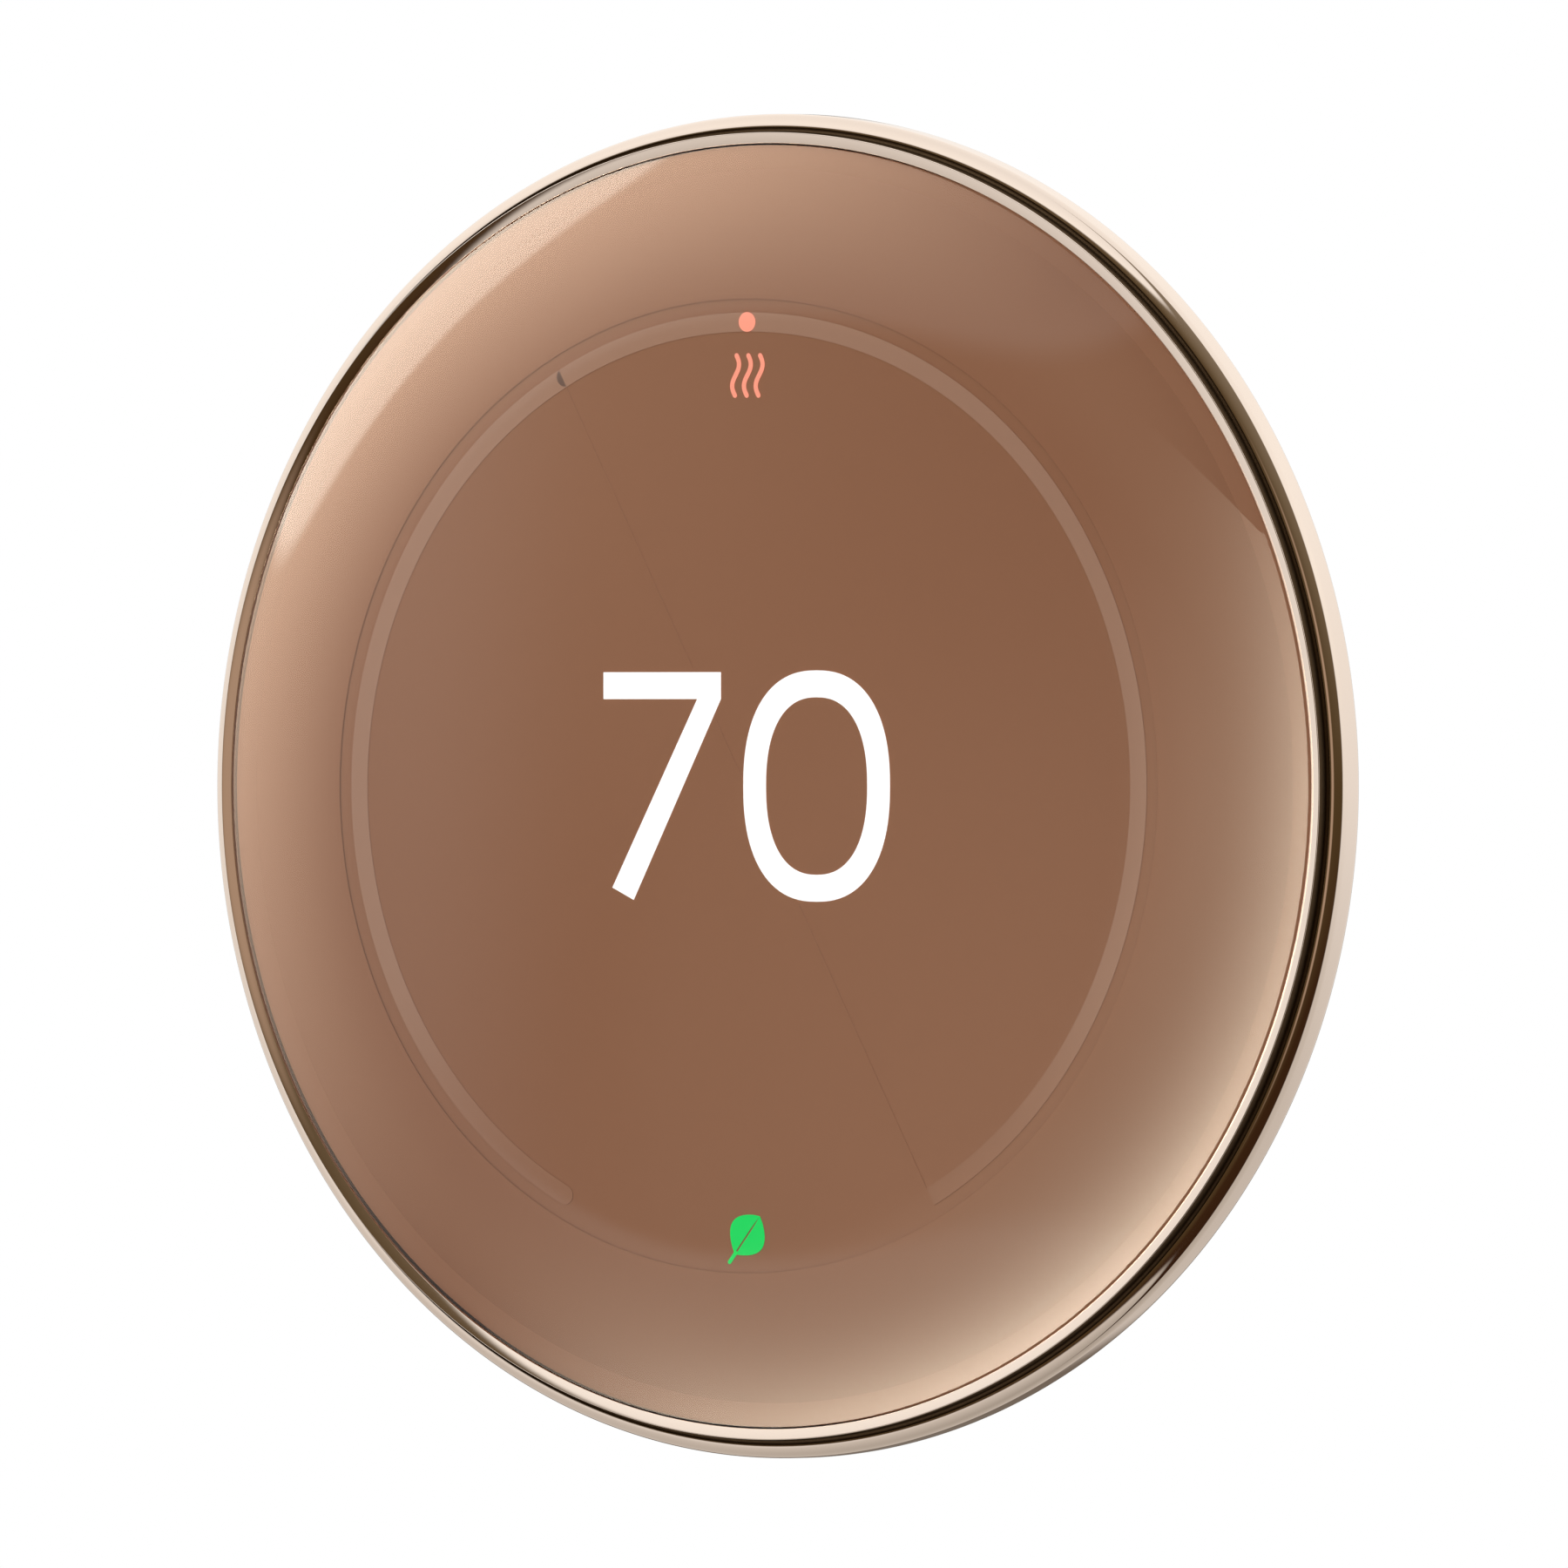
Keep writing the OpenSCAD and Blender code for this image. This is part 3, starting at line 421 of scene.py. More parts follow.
def flatShape(*outlines):
    # closed outlines side by side in the display's plane, joined and given a little thickness
    made = bmesh.new()
    for outline in outlines:
        made.faces.new([made.verts.new((x, -markDepth(), z)) for x, z in outline])
    bmesh.ops.remove_doubles(made, verts=made.verts, dist=0.0005 * mm)
    grown = bmesh.ops.extrude_face_region(made, geom=made.faces[:])
    bmesh.ops.translate(made, vec=(0, -marks["thick"], 0),
                        verts=[v for v in grown["geom"] if isinstance(v, bmesh.types.BMVert)])
    bmesh.ops.recalc_face_normals(made, faces=made.faces)
    return made


def makeArc(finish):
    outer, inner = marks["arcOut"], marks["arcOut"] - marks["arcWidth"]
    sweep, start = 360 - 2 * marks["arcGap"], -90 + marks["arcGap"]
    count = 160
    angles = [radians(start + sweep * i / count) for i in range(count + 1)]
    middle = (outer + inner) / 2
    half = (outer - inner) / 2

    def end(angle, direction):
        spot = (middle * cos(angle), middle * sin(angle))
        return [(spot[0] + half * cos(angle + direction * radians(t)),
                 spot[1] + half * sin(angle + direction * radians(t))) for t in range(18, 180, 18)]
    pairs = [((outer * cos(a), outer * sin(a)), (inner * cos(a), inner * sin(a))) for a in angles]
    shapes = [[first[0], second[0], second[1], first[1]] for first, second in zip(pairs, pairs[1:])]
    shapes.append([pairs[-1][0]] + end(angles[-1], 1) + [pairs[-1][1]])
    shapes.append([pairs[0][1]] + end(angles[0] + pi, 1) + [pairs[0][0]])
    return markObject("litArc", flatShape(*shapes), finish)


def makeDot(finish):
    at = marks["arcOut"] - marks["arcWidth"] / 2
    outline = [(marks["dot"] * cos(radians(t)), at + marks["dot"] * sin(radians(t))) for t in range(0, 360, 10)]
    made = flatShape(outline)
    bmesh.ops.translate(made, vec=(0, -1.5 * marks["thick"], 0), verts=made.verts)
    return markObject("litSetPoint", made, finish)


number = {"height": 16.6 * mm, "stroke": 1.96 * mm, "sevenLeft": -12.5 * mm, "sevenRight": -2.3 * mm,
          "sevenFoot": -10.8 * mm, "footWidth": 2.05 * mm, "zeroAt": 6.0 * mm, "zeroHalf": 6.35 * mm}


def makeNumber(finish):
    top, thick = number["height"] / 2, number["stroke"]
    left, right, foot, width = number["sevenLeft"], number["sevenRight"], number["sevenFoot"], number["footWidth"]
    seven = [(left, top), (right, top), (right, top - thick), (foot + width / 2 - 0.1 * mm, -top),
             (foot - width / 2 + 0.1 * mm, -top + 0.9 * mm), (right - width, top - thick), (left, top - thick)]
    markObject("litSeven", flatShape(seven), finish)
    made = bmesh.new()
    count, middle = 96, number["zeroAt"]
    bend = 2.35   # a little squarer than an ellipse

    def oval(halfWide, halfHigh):
        points = []
        for i in range(count):
            turn = 2 * pi * i / count
            c, s = cos(turn), sin(turn)
            points.append(made.verts.new((middle + halfWide * abs(c) ** (2 / bend) * (1 if c > 0 else -1),
                                          -markDepth(), halfHigh * abs(s) ** (2 / bend) * (1 if s > 0 else -1))))
        return [made.edges.new((points[i - 1], points[i])) for i in range(count)]
    outer = oval(number["zeroHalf"], top + 0.12 * mm)
    inner = oval(number["zeroHalf"] - thick, top + 0.12 * mm - thick)
    bridged = bmesh.ops.bridge_loops(made, edges=outer + inner)
    grown = bmesh.ops.extrude_face_region(made, geom=bridged["faces"])
    bmesh.ops.translate(made, vec=(0, -marks["thick"], 0),
                        verts=[v for v in grown["geom"] if isinstance(v, bmesh.types.BMVert)])
    bmesh.ops.recalc_face_normals(made, faces=made.faces)
    markObject("litZero", made, finish)


def ribbon(points, width, roundEnds=True):
    # the outline of a stroke of one width along a smooth path
    sides = ([], [])
    for i, (x, z) in enumerate(points):
        before, after = points[max(i - 1, 0)], points[min(i + 1, len(points) - 1)]
        run = Vector((after[0] - before[0], after[1] - before[1])).normalized()
        for side, sign in zip(sides, (1, -1)):
            side.append((x - sign * run.y * width / 2, z + sign * run.x * width / 2))

    def cap(centre, fromPoint):
        start = atan2(fromPoint[1] - centre[1], fromPoint[0] - centre[0])
        return [(centre[0] + width / 2 * cos(start - radians(t)), centre[1] + width / 2 * sin(start - radians(t)))
                for t in range(30, 180, 30)]
    left, right = sides
    return left + cap(points[-1], left[-1]) + right[::-1] + cap(points[0], right[0])


def makeWaves(finish):
    for i in (-1, 0, 1):
        path = []
        for k in range(17):
            rise = k / 16
            path.append((i * marks["wavePitch"] + marks["waveSwing"] * sin(2 * pi * rise * 0.92 + 0.3),
                         marks["waveAt"] + marks["waveHeight"] * (0.5 - rise)))
        markObject(f"litWave{i + 2}", flatShape(ribbon(path, marks["waveWidth"])), finish)


def makeLeaf(finish):
    # a plain pointed leaf in two halves, so that its vein shows, on a short stalk
    half, wide, at = marks["leafLong"] / 2, marks["leafWide"] / 2, marks["leafAt"]
    lean = radians(-38)

    def leaning(points):
        return [(x * cos(lean) - z * sin(lean), at + x * sin(lean) + z * cos(lean)) for x, z in points]
    for side, name in ((-1, "litLeafLeft"), (1, "litLeafRight")):
        vein = [(side * marks["vein"] * min(1, 3.4 * (1 - k / 12)), half * (2 * k / 12 - 1)) for k in range(13)]
        edge = [(side * max(wide * sin(pi * k / 12) ** 0.8, marks["vein"] * 0.5), half * (2 * k / 12 - 1))
                for k in range(11, 0, -1)]
        markObject(name, flatShape(leaning(vein + edge)), finish)
    stalk = [(0, -half - 0.75 * mm), (0, -half - 0.3 * mm), (0, -half + 0.1 * mm)]
    markObject("litStalk", flatShape(leaning(ribbon(stalk, 0.3 * mm))), finish)


def makeMarks():
    makeArc(glow("arcGlow", (0.068, 0.062, 0.053, 1), fade=(-31 * mm, -12 * mm)))
    salmon = glow("salmonGlow", rgb(255, 160, 135))
    makeDot(salmon)
    makeWaves(salmon)
    makeNumber(glow("whiteGlow", (1.15, 1.15, 1.15, 1)))
    makeLeaf(glow("greenGlow", rgb(0, 216, 96)))


# ---- the other pieces' finishes ----

def depthOf(finish):
    # how far in front of the wall a point is
    _, y, _ = finish.axes(finish.at())
    return y * -1


def within(finish, value, low, high, soft):
    return finish.step(value, low - soft, low + soft) * (1 - finish.step(value, high - soft, high + soft))


def moulded(colour, other, grain=2200, depth=0.01 * mm, rough=0.5, strength=0.35):
    # spark-eroded plastic: fine pits, a faint flow cloud, a little unevenness in the gloss
    def draw(finish):
        pits = finish.noise(finish.at(), grain, 4.0)
        cloud = finish.noise(finish.at(), 40, 3.0)
        shade = finish.mix(finish.step(cloud, 0.35, 0.65) * 0.6 + pits * 0.25, colour, other)
        return {"Base Color": shade, "Roughness": rough - 0.06 + 0.14 * pits,
                "Normal": finish.bump(pits, strength, depth)}
    return draw


def brushed(colour, other, stretch=(60, 60, 4000), rough=0.3, depth=0.004 * mm):
    # drawn or stamped metal with lines along one way, and faint handling marks
    def draw(finish):
        along = finish.node("ShaderNodeMapping", {"vector_type": "POINT"}, {0: finish.at(), 3: stretch})
        lines = finish.noise(along, 1.0, 3.0)
        marks_ = finish.noise(finish.at(), 180, 3.0)
        shade = finish.mix(lines * 0.6 + marks_ * 0.4, colour, other)
        return {"Base Color": shade, "Metallic": 1.0, "Roughness": rough - 0.08 + 0.12 * lines + 0.1 * marks_,
                "Normal": finish.bump(lines, 0.3, depth)}
    return draw


def plated(colour, other, rough=0.24):
    # screws and pins: bright plating with fine crystals and turning lines
    def draw(finish):
        crystals = finish.node("ShaderNodeTexVoronoi", None, {"Vector": finish.at(), "Scale": 3200.0}, out=0)
        lines = finish.noise(finish.node("ShaderNodeMapping", None, {0: finish.at(), 3: (300, 6000, 300)}), 1.0, 2.0)
        return {"Base Color": finish.mix(crystals * 0.7 + lines * 0.3, colour, other), "Metallic": 1.0,
                "Roughness": rough + 0.14 * crystals, "Normal": finish.bump(lines, 0.25, 0.004 * mm)}
    return draw


def circuitBoard(node, mask, track, pitch=230):
    # solder mask over tracks, tinned vias, and the woven glass fibre along the cut edge
    back, front = backOf(node), frontOf(node)

    def draw(finish):
        x, y, z = finish.axes(finish.at())
        flat = finish.node("ShaderNodeCombineXYZ", None, {0: x, 1: z})
        runs = finish.node("ShaderNodeTexBrick", {"offset": 0.37, "squash": 0.6, "squash_frequency": 3}, {
            "Vector": flat, "Scale": float(pitch), "Mortar Size": 0.045, "Mortar Smooth": 0.1,
            "Brick Width": 1.7, "Row Height": 0.42}, out=1)
        slanted = finish.node("ShaderNodeMapping", None, {0: flat, 2: (0, 0, radians(45)), 3: (1, 1, 1)})
        more = finish.node("ShaderNodeTexBrick", {"offset": 0.5, "squash": 1.4, "squash_frequency": 2}, {
            "Vector": slanted, "Scale": pitch * 0.6, "Mortar Size": 0.03, "Mortar Smooth": 0.1,
            "Brick Width": 2.6, "Row Height": 0.9}, out=1)
        near = finish.node("ShaderNodeTexVoronoi", None, {"Vector": flat, "Scale": pitch * 1.2, "Randomness": 0.55})
        few = finish.step(finish.noise(flat, pitch * 0.7, 1.0), 0.52, 0.56)
        via = (1 - finish.step(near, 0.13, 0.16)) * few
        hole = (1 - finish.step(near, 0.05, 0.07)) * few
        tracks = finish.node("ShaderNodeMath", {"operation": "MAXIMUM"}, {0: runs, 1: more})
        weave = finish.node("ShaderNodeTexWave", {"bands_direction": "DIAGONAL"}, {
            "Vector": finish.at(), "Scale": 500.0, "Distortion": 2.0})
        shade = finish.mix(tracks, mask, track)
        shade = finish.mix(weave * 0.12, shade, rgb(96, 120, 70))
        shade = finish.mix(via, shade, rgb(196, 196, 190))
        shade = finish.mix(hole, shade, rgb(22, 22, 20))
        middle = (front + back) / 2
        away = finish.node("ShaderNodeMath", {"operation": "ABSOLUTE"}, {0: y * -1 - middle})
        rim = 1 - finish.step(away, (front - back) / 2 - 0.03 * mm, (front - back) / 2 - 0.01 * mm)
        layers = finish.node("ShaderNodeTexWave", {"bands_direction": "Y"}, {
            "Vector": finish.at(), "Scale": 1600.0, "Distortion": 1.2})
        edge = finish.mix(layers, rgb(176, 166, 118), rgb(146, 134, 92))
        return {"Base Color": finish.mix(rim, shade, edge), "Metallic": via * (1 - hole) * (1 - rim) * 0.9,
                "Roughness": 0.3 + 0.35 * rim + 0.1 * weave,
                "Normal": finish.bump(tracks + via, 0.4, 0.03 * mm)}
    return draw


def drawBasePlate(finish):
    # matte white moulding whose back, against the wall, is coloured a little darker, with faint ejector pin rings
    x, y, z = finish.axes(finish.at())
    pits = finish.noise(finish.at(), 2400, 4.0)
    cloud = finish.noise(finish.at(), 35, 3.0)
    flat = finish.node("ShaderNodeCombineXYZ", None, {0: x, 1: z})
    near = finish.node("ShaderNodeTexVoronoi", None, {"Vector": flat, "Scale": 62.0, "Randomness": 0.3})
    ringMark = within(finish, near, 0.13, 0.15, 0.008)
    shade = finish.mix(cloud, rgb(228, 226, 221), rgb(220, 217, 211))
    shade = finish.mix(ringMark * 0.3, shade, rgb(205, 202, 196))
    wallSide = 1 - finish.step(y * -1, 0.05 * mm, 0.2 * mm)
    return {"Base Color": finish.mix(wallSide * 0.5, shade, rgb(214, 211, 205)), "Roughness": 0.46 + 0.14 * pits,
            "Normal": finish.bump(pits * 0.6 + ringMark, 0.3, 0.012 * mm)}


def drawHousing(finish):
    # champagne matte housing: fine moulded grain, a gate cloud, a slightly lighter rim where the mould parts
    _, y, _ = finish.axes(finish.at())
    pits = finish.noise(finish.at(), 2600, 4.0)
    cloud = finish.noise(finish.at(), 30, 3.0)
    flakes = finish.node("ShaderNodeTexVoronoi", None, {"Vector": finish.at(), "Scale": 5200.0}, out=0)
    shade = finish.mix(cloud, rgb(203, 187, 170), rgb(195, 178, 160))
    shade = finish.mix(flakes * 0.18, shade, rgb(232, 218, 200))
    parting = within(finish, y * -1, frontOf("rear_housing") - 0.5 * mm, frontOf("rear_housing") - 0.42 * mm, 0.03 * mm)
    return {"Base Color": finish.mix(parting * 0.3, shade, rgb(226, 214, 198)),
            "Roughness": 0.4 + 0.14 * pits, "Normal": finish.bump(pits - parting * 0.5, 0.3, 0.01 * mm)}


def drawCarrier(finish):
    # black glass-filled nylon: short pale fibres lie in it
    fibres = finish.node("ShaderNodeTexWave", {"bands_direction": "DIAGONAL"}, {
        "Vector": finish.at(), "Scale": 900.0, "Distortion": 9.0, "Detail": 3.0})
    pits = finish.noise(finish.at(), 2600, 4.0)
    seen = finish.step(fibres, 0.86, 0.97) * finish.step(pits, 0.45, 0.6)
    return {"Base Color": finish.mix(seen * 0.5, rgb(38, 38, 40), rgb(92, 92, 95)),
            "Roughness": 0.42 + 0.2 * pits, "Normal": finish.bump(pits + seen * 0.4, 0.35, 0.012 * mm)}


def drawChips(finish):
    # dark epoxy with a laser-dull patch and tinned feet along the board
    x, y, z = finish.axes(finish.at())
    middle = (backOf("main_board") + frontOf("main_board")) / 2
    half = (frontOf("main_board") - backOf("main_board")) / 2
    away = finish.node("ShaderNodeMath", {"operation": "ABSOLUTE"}, {0: y * -1 - middle})
    foot = 1 - finish.step(away, half + 0.14 * mm, half + 0.17 * mm)
    teeth = finish.node("ShaderNodeMath", {"operation": "SINE"}, {0: (x + z) * (2 * pi / (0.5 * mm))})
    tin = foot * finish.step(teeth, -0.1, 0.1)
    pits = finish.noise(finish.at(), 3000, 4.0)
    dull = finish.step(finish.noise(finish.at(), 700, 1.0), 0.5, 0.55)
    shade = finish.mix(dull * 0.5 + pits * 0.3, rgb(30, 30, 32), rgb(52, 52, 55))
    return {"Base Color": finish.mix(tin, shade, rgb(200, 200, 195)), "Metallic": tin, "Roughness": 0.5 + 0.2 * pits - 0.3 * tin,
            "Normal": finish.bump(pits + tin, 0.3, 0.01 * mm)}


def drawCans(finish):
    # tin plate with a folded lip near the board and rows of small vent dimples; the dimples and the fold are darkened
    # with painted shade
    x, y, z = finish.axes(finish.at())
    flat = finish.node("ShaderNodeCombineXYZ", None, {0: x, 1: z})
    dots = finish.node("ShaderNodeTexVoronoi", None, {"Vector": flat, "Scale": 520.0, "Randomness": 0.0})
    top = finish.step(y * -1, frontOf("shield_cans") - 0.03 * mm, frontOf("shield_cans") - 0.01 * mm)
    dimple = (1 - finish.step(dots, 0.14, 0.22)) * top
    fold = within(finish, y * -1, backOf("shield_cans") + 0.4 * mm, backOf("shield_cans") + 0.46 * mm, 0.02 * mm)
    smear = finish.noise(finish.node("ShaderNodeMapping", None, {0: finish.at(), 3: (120, 900, 1800)}), 1.0, 3.0)
    shade = finish.mix(smear, rgb(208, 209, 210), rgb(184, 186, 188))
    # painted shade in the dimples and along the fold
    return {"Base Color": finish.mix(dimple * 0.6 + fold * 0.5, shade, rgb(120, 121, 123)), "Metallic": 0.95,
            "Roughness": 0.26 + 0.16 * smear, "Normal": finish.bump(smear * 0.3 - dimple - fold, 0.4, 0.05 * mm)}


def drawBattery(finish):
    # crinkled foil pouch with a heat-sealed strip, brown tape over its end and a plain blue band, no print
    x, y, z = finish.axes(finish.at())
    creases = finish.noise(finish.at(), 260, 5.0)
    cells = finish.node("ShaderNodeTexVoronoi", {"feature": "DISTANCE_TO_EDGE"}, {"Vector": finish.at(), "Scale": 260.0})
    tape = finish.step(x, 17.2 * mm, 17.3 * mm)
    band = within(finish, z, 6.5 * mm, 9.0 * mm, 0.04 * mm)
    seal = within(finish, depthOf(finish), backOf("battery") + 0.6 * mm, backOf("battery") + 0.9 * mm, 0.05 * mm)
    shade = finish.mix(creases, rgb(196, 198, 202), rgb(160, 163, 168))
    shade = finish.mix(seal * 0.5, shade, rgb(120, 122, 126))
    shade = finish.mix(band, shade, rgb(58, 96, 158))
    shade = finish.mix(tape, shade, rgb(172, 118, 40))
    bare = (1 - tape) * (1 - band)
    return {"Base Color": shade, "Metallic": 0.75 * bare, "Roughness": 0.34 + 0.14 * creases,
            "Normal": finish.bump(creases * 0.8 + finish.step(cells, 0.0, 0.1) * 0.15, 0.5, 0.08 * mm)}


def drawSounder(finish):
    # brass disc carrying a smaller white ceramic disc with a silvered face
    x, _, z = finish.axes(finish.at())
    z = z - 20.5 * mm
    away = finish.node("ShaderNodeMath", {"operation": "SQRT"}, {0: x * x + z * z})
    ceramic = 1 - finish.step(away, 4.4 * mm, 4.5 * mm)
    silver = 1 - finish.step(away, 3.9 * mm, 3.95 * mm)
    circles = finish.node("ShaderNodeMath", {"operation": "SINE"}, {0: away * (2 * pi / (0.12 * mm))})
    grain = finish.noise(finish.at(), 2400, 3.0)
    shade = finish.mix(grain, rgb(219, 184, 118), rgb(196, 158, 92))
    shade = finish.mix(ceramic, shade, rgb(236, 233, 226))
    shade = finish.mix(silver, shade, rgb(205, 206, 208))
    return {"Base Color": shade, "Metallic": 1 - ceramic * (1 - silver), "Roughness": 0.28 + 0.14 * grain,
            "Normal": finish.bump(circles * 0.15 + ceramic, 0.25, 0.02 * mm)}


def drawTempSensor(finish):
    # a small epoxy bead sensor with a pale dot on its face
    x, y, z = finish.axes(finish.at())
    pits = finish.noise(finish.at(), 3000, 4.0)
    bx, bz = x - 17 * mm, z + 25.5 * mm
    away = finish.node("ShaderNodeMath", {"operation": "SQRT"}, {0: bx * bx + bz * bz})
    dot = within(finish, away, 0.9 * mm, 1.1 * mm, 0.03 * mm)
    shade = finish.mix(pits, rgb(44, 66, 108), rgb(34, 52, 88))
    return {"Base Color": finish.mix(dot * 0.8, shade, rgb(210, 212, 214)), "Roughness": 0.36 + 0.2 * pits,
            "Normal": finish.bump(pits - dot, 0.3, 0.01 * mm)}


def drawSwitch(finish):
    # tactile switch: dark body, steel cover plate with its pressed rim, black button; the pressed rim is darkened with
    # painted shade
    x, y, z = finish.axes(finish.at())
    away = finish.node("ShaderNodeMath", {"operation": "SQRT"}, {0: x * x + z * z})
    front = frontOf("push_switch")
    cover = finish.step(y * -1, front - 0.75 * mm, front - 0.7 * mm) * finish.step(away, 1.6 * mm, 1.65 * mm)
    rim = within(finish, away, 1.75 * mm, 1.9 * mm, 0.02 * mm) * cover
    grain = finish.noise(finish.node("ShaderNodeMapping", None, {0: finish.at(), 3: (200, 200, 5000)}), 1.0, 3.0)
    shade = finish.mix(cover, rgb(34, 34, 36), finish.mix(grain, rgb(205, 206, 207), rgb(178, 180, 182)))
    # painted shade along the pressed rim
    return {"Base Color": finish.mix(rim * 0.5, shade, rgb(110, 111, 113)), "Metallic": cover,
            "Roughness": 0.5 - 0.22 * cover + 0.1 * grain, "Normal": finish.bump(grain * 0.3 - rim, 0.3, 0.02 * mm)}


def drawConnector(finish):
    # black nylon connector with slots between its ways
    x, y, z = finish.axes(finish.at())
    ways = finish.node("ShaderNodeMath", {"operation": "SINE"}, {0: x * (2 * pi / (2.54 * mm))})
    slot_ = finish.step(ways, 0.9, 0.97)
    pits = finish.noise(finish.at(), 2600, 4.0)
    return {"Base Color": finish.mix(pits * 0.5 + slot_ * 0.5, rgb(40, 40, 42), rgb(24, 24, 25)),
            "Roughness": 0.38 + 0.18 * pits, "Normal": finish.bump(pits * 0.4 - slot_ * 0.6, 0.35, 0.03 * mm)}


def drawFlexFilm(finish):
    # amber polyimide with copper tracks running along it and tinned fingers at each end
    x, y, z = finish.axes(finish.at())
    tracks = finish.node("ShaderNodeMath", {"operation": "SINE"}, {0: x * (2 * pi / (0.6 * mm))})
    copper = finish.step(tracks, -0.1, 0.15) * (1 - finish.step(finish.node(
        "ShaderNodeMath", {"operation": "ABSOLUTE"}, {0: x}), 5.3 * mm, 5.4 * mm))
    depth = y * -1
    fingers = copper * ((1 - finish.step(depth, 17.05 * mm, 17.1 * mm)) + finish.step(depth, 19.5 * mm, 19.55 * mm))
    cloud = finish.noise(finish.at(), 500, 3.0)
    shade = finish.mix(copper, finish.mix(cloud, rgb(206, 128, 42), rgb(190, 112, 34)), rgb(170, 88, 30))
    return {"Base Color": finish.mix(fingers, shade, rgb(214, 190, 120)), "Metallic": 0.25 * copper + 0.7 * fingers,
            "Roughness": 0.26 + 0.12 * cloud, "Normal": finish.bump(copper, 0.4, 0.03 * mm)}


def drawDiffuser(finish):
    # white light guide with its grid of pale printed dots
    x, _, z = finish.axes(finish.at())
    flat = finish.node("ShaderNodeCombineXYZ", None, {0: x, 1: z})
    dots = finish.node("ShaderNodeTexVoronoi", None, {"Vector": flat, "Scale": 900.0, "Randomness": 0.0})
    seen = 1 - finish.step(dots, 0.2, 0.28)
    cloud = finish.noise(finish.at(), 60, 2.0)
    shade = finish.mix(seen * 0.5 + cloud * 0.2, rgb(246, 246, 244), rgb(226, 228, 230))
    return {"Base Color": shade, "Roughness": 0.3 + 0.1 * cloud, "Coat Weight": 0.3 + 0.2 * seen,
            "Normal": finish.bump(seen, 0.2, 0.02 * mm)}


def drawFoam(finish):
    # black closed-cell foam: open cells along its cut sides
    cells = finish.node("ShaderNodeTexVoronoi", {"feature": "DISTANCE_TO_EDGE"}, {"Vector": finish.at(), "Scale": 4200.0})
    wall = finish.step(cells, 0.02, 0.12)
    grain = finish.noise(finish.at(), 1500, 3.0)
    return {"Base Color": finish.mix(wall * 0.6 + grain * 0.3, rgb(52, 52, 53), rgb(28, 28, 29)),
            "Roughness": 0.82 + 0.1 * grain, "Normal": finish.bump(wall, 0.6, 0.06 * mm)}


def drawCodeStrip(finish):
    # a printed film: fine pale and black bars that the sensor counts as the ring turns
    x, y, z = finish.axes(finish.at())
    angle = finish.node("ShaderNodeMath", {"operation": "ARCTAN2"}, {0: x, 1: z})
    bars = finish.step(finish.node("ShaderNodeMath", {"operation": "SINE"}, {0: angle * 240}), -0.15, 0.15)
    depth = y * -1
    printed = within(finish, depth, backOf("encoder_strip") + 0.12 * mm, frontOf("encoder_strip") - 0.12 * mm, 0.01 * mm)
    grain = finish.noise(finish.at(), 2600, 2.0)
    shade = finish.mix(bars * printed, finish.mix(grain, rgb(24, 24, 25), rgb(34, 34, 35)), rgb(198, 200, 202))
    return {"Base Color": shade, "Roughness": 0.3 + 0.2 * grain, "Metallic": 0.5 * bars * printed,
            "Normal": finish.bump(bars * printed, 0.15, 0.01 * mm)}


def drawLead(finish):
    # red insulation drawn over stranded wire, with faint ribs along the strands
    ribs = finish.node("ShaderNodeTexWave", {"bands_direction": "DIAGONAL"}, {
        "Vector": finish.at(), "Scale": 1200.0, "Distortion": 1.5})
    scuff = finish.noise(finish.at(), 900, 3.0)
    return {"Base Color": finish.mix(ribs * 0.4 + scuff * 0.4, rgb(186, 32, 28), rgb(146, 22, 20)),
            "Roughness": 0.36 + 0.18 * scuff, "Normal": finish.bump(ribs * 0.5 + scuff * 0.5, 0.3, 0.02 * mm)}


def drawVial(finish):
    # clear acrylic with two black reading lines round it
    x, _, _ = finish.axes(finish.at())
    away = finish.node("ShaderNodeMath", {"operation": "ABSOLUTE"}, {0: x})
    lines = within(finish, away, 2.05 * mm, 2.4 * mm, 0.02 * mm)
    streaks = finish.noise(finish.at(), 400, 2.0)
    shade = finish.mix(lines, finish.mix(streaks, rgb(238, 246, 243), rgb(226, 240, 235)), rgb(20, 22, 22))
    return {"Base Color": shade, "Roughness": 0.06 + 0.05 * streaks, "Alpha": 0.22 + 0.7 * lines,
            "Normal": finish.bump(lines + streaks * 0.1, 0.2, 0.02 * mm)}


def drawLiquid(finish):
    # tinted spirit with the pale bubble in the middle of its top
    x, y, z = finish.axes(finish.at())
    u, w = x / (1.7 * mm), (z - 18.6 * mm) / (1.0 * mm)
    v = (y + 7.2 * mm) / (1.2 * mm)
    away = finish.node("ShaderNodeMath", {"operation": "SQRT"}, {0: u * u + w * w + v * v})
    bubble = 1 - finish.step(away, 0.9, 1.0)
    rim = within(finish, away, 0.88, 1.06, 0.05)
    cloud = finish.noise(finish.at(), 300, 2.0)
    shade = finish.mix(cloud, rgb(178, 214, 46), rgb(160, 200, 36))
    shade = finish.mix(bubble, shade, rgb(232, 244, 190))
    return {"Base Color": finish.mix(rim * 0.6, shade, rgb(88, 120, 20)), "Roughness": 0.08 + 0.05 * cloud,
            "Normal": finish.bump(bubble, 0.3, 0.1 * mm)}


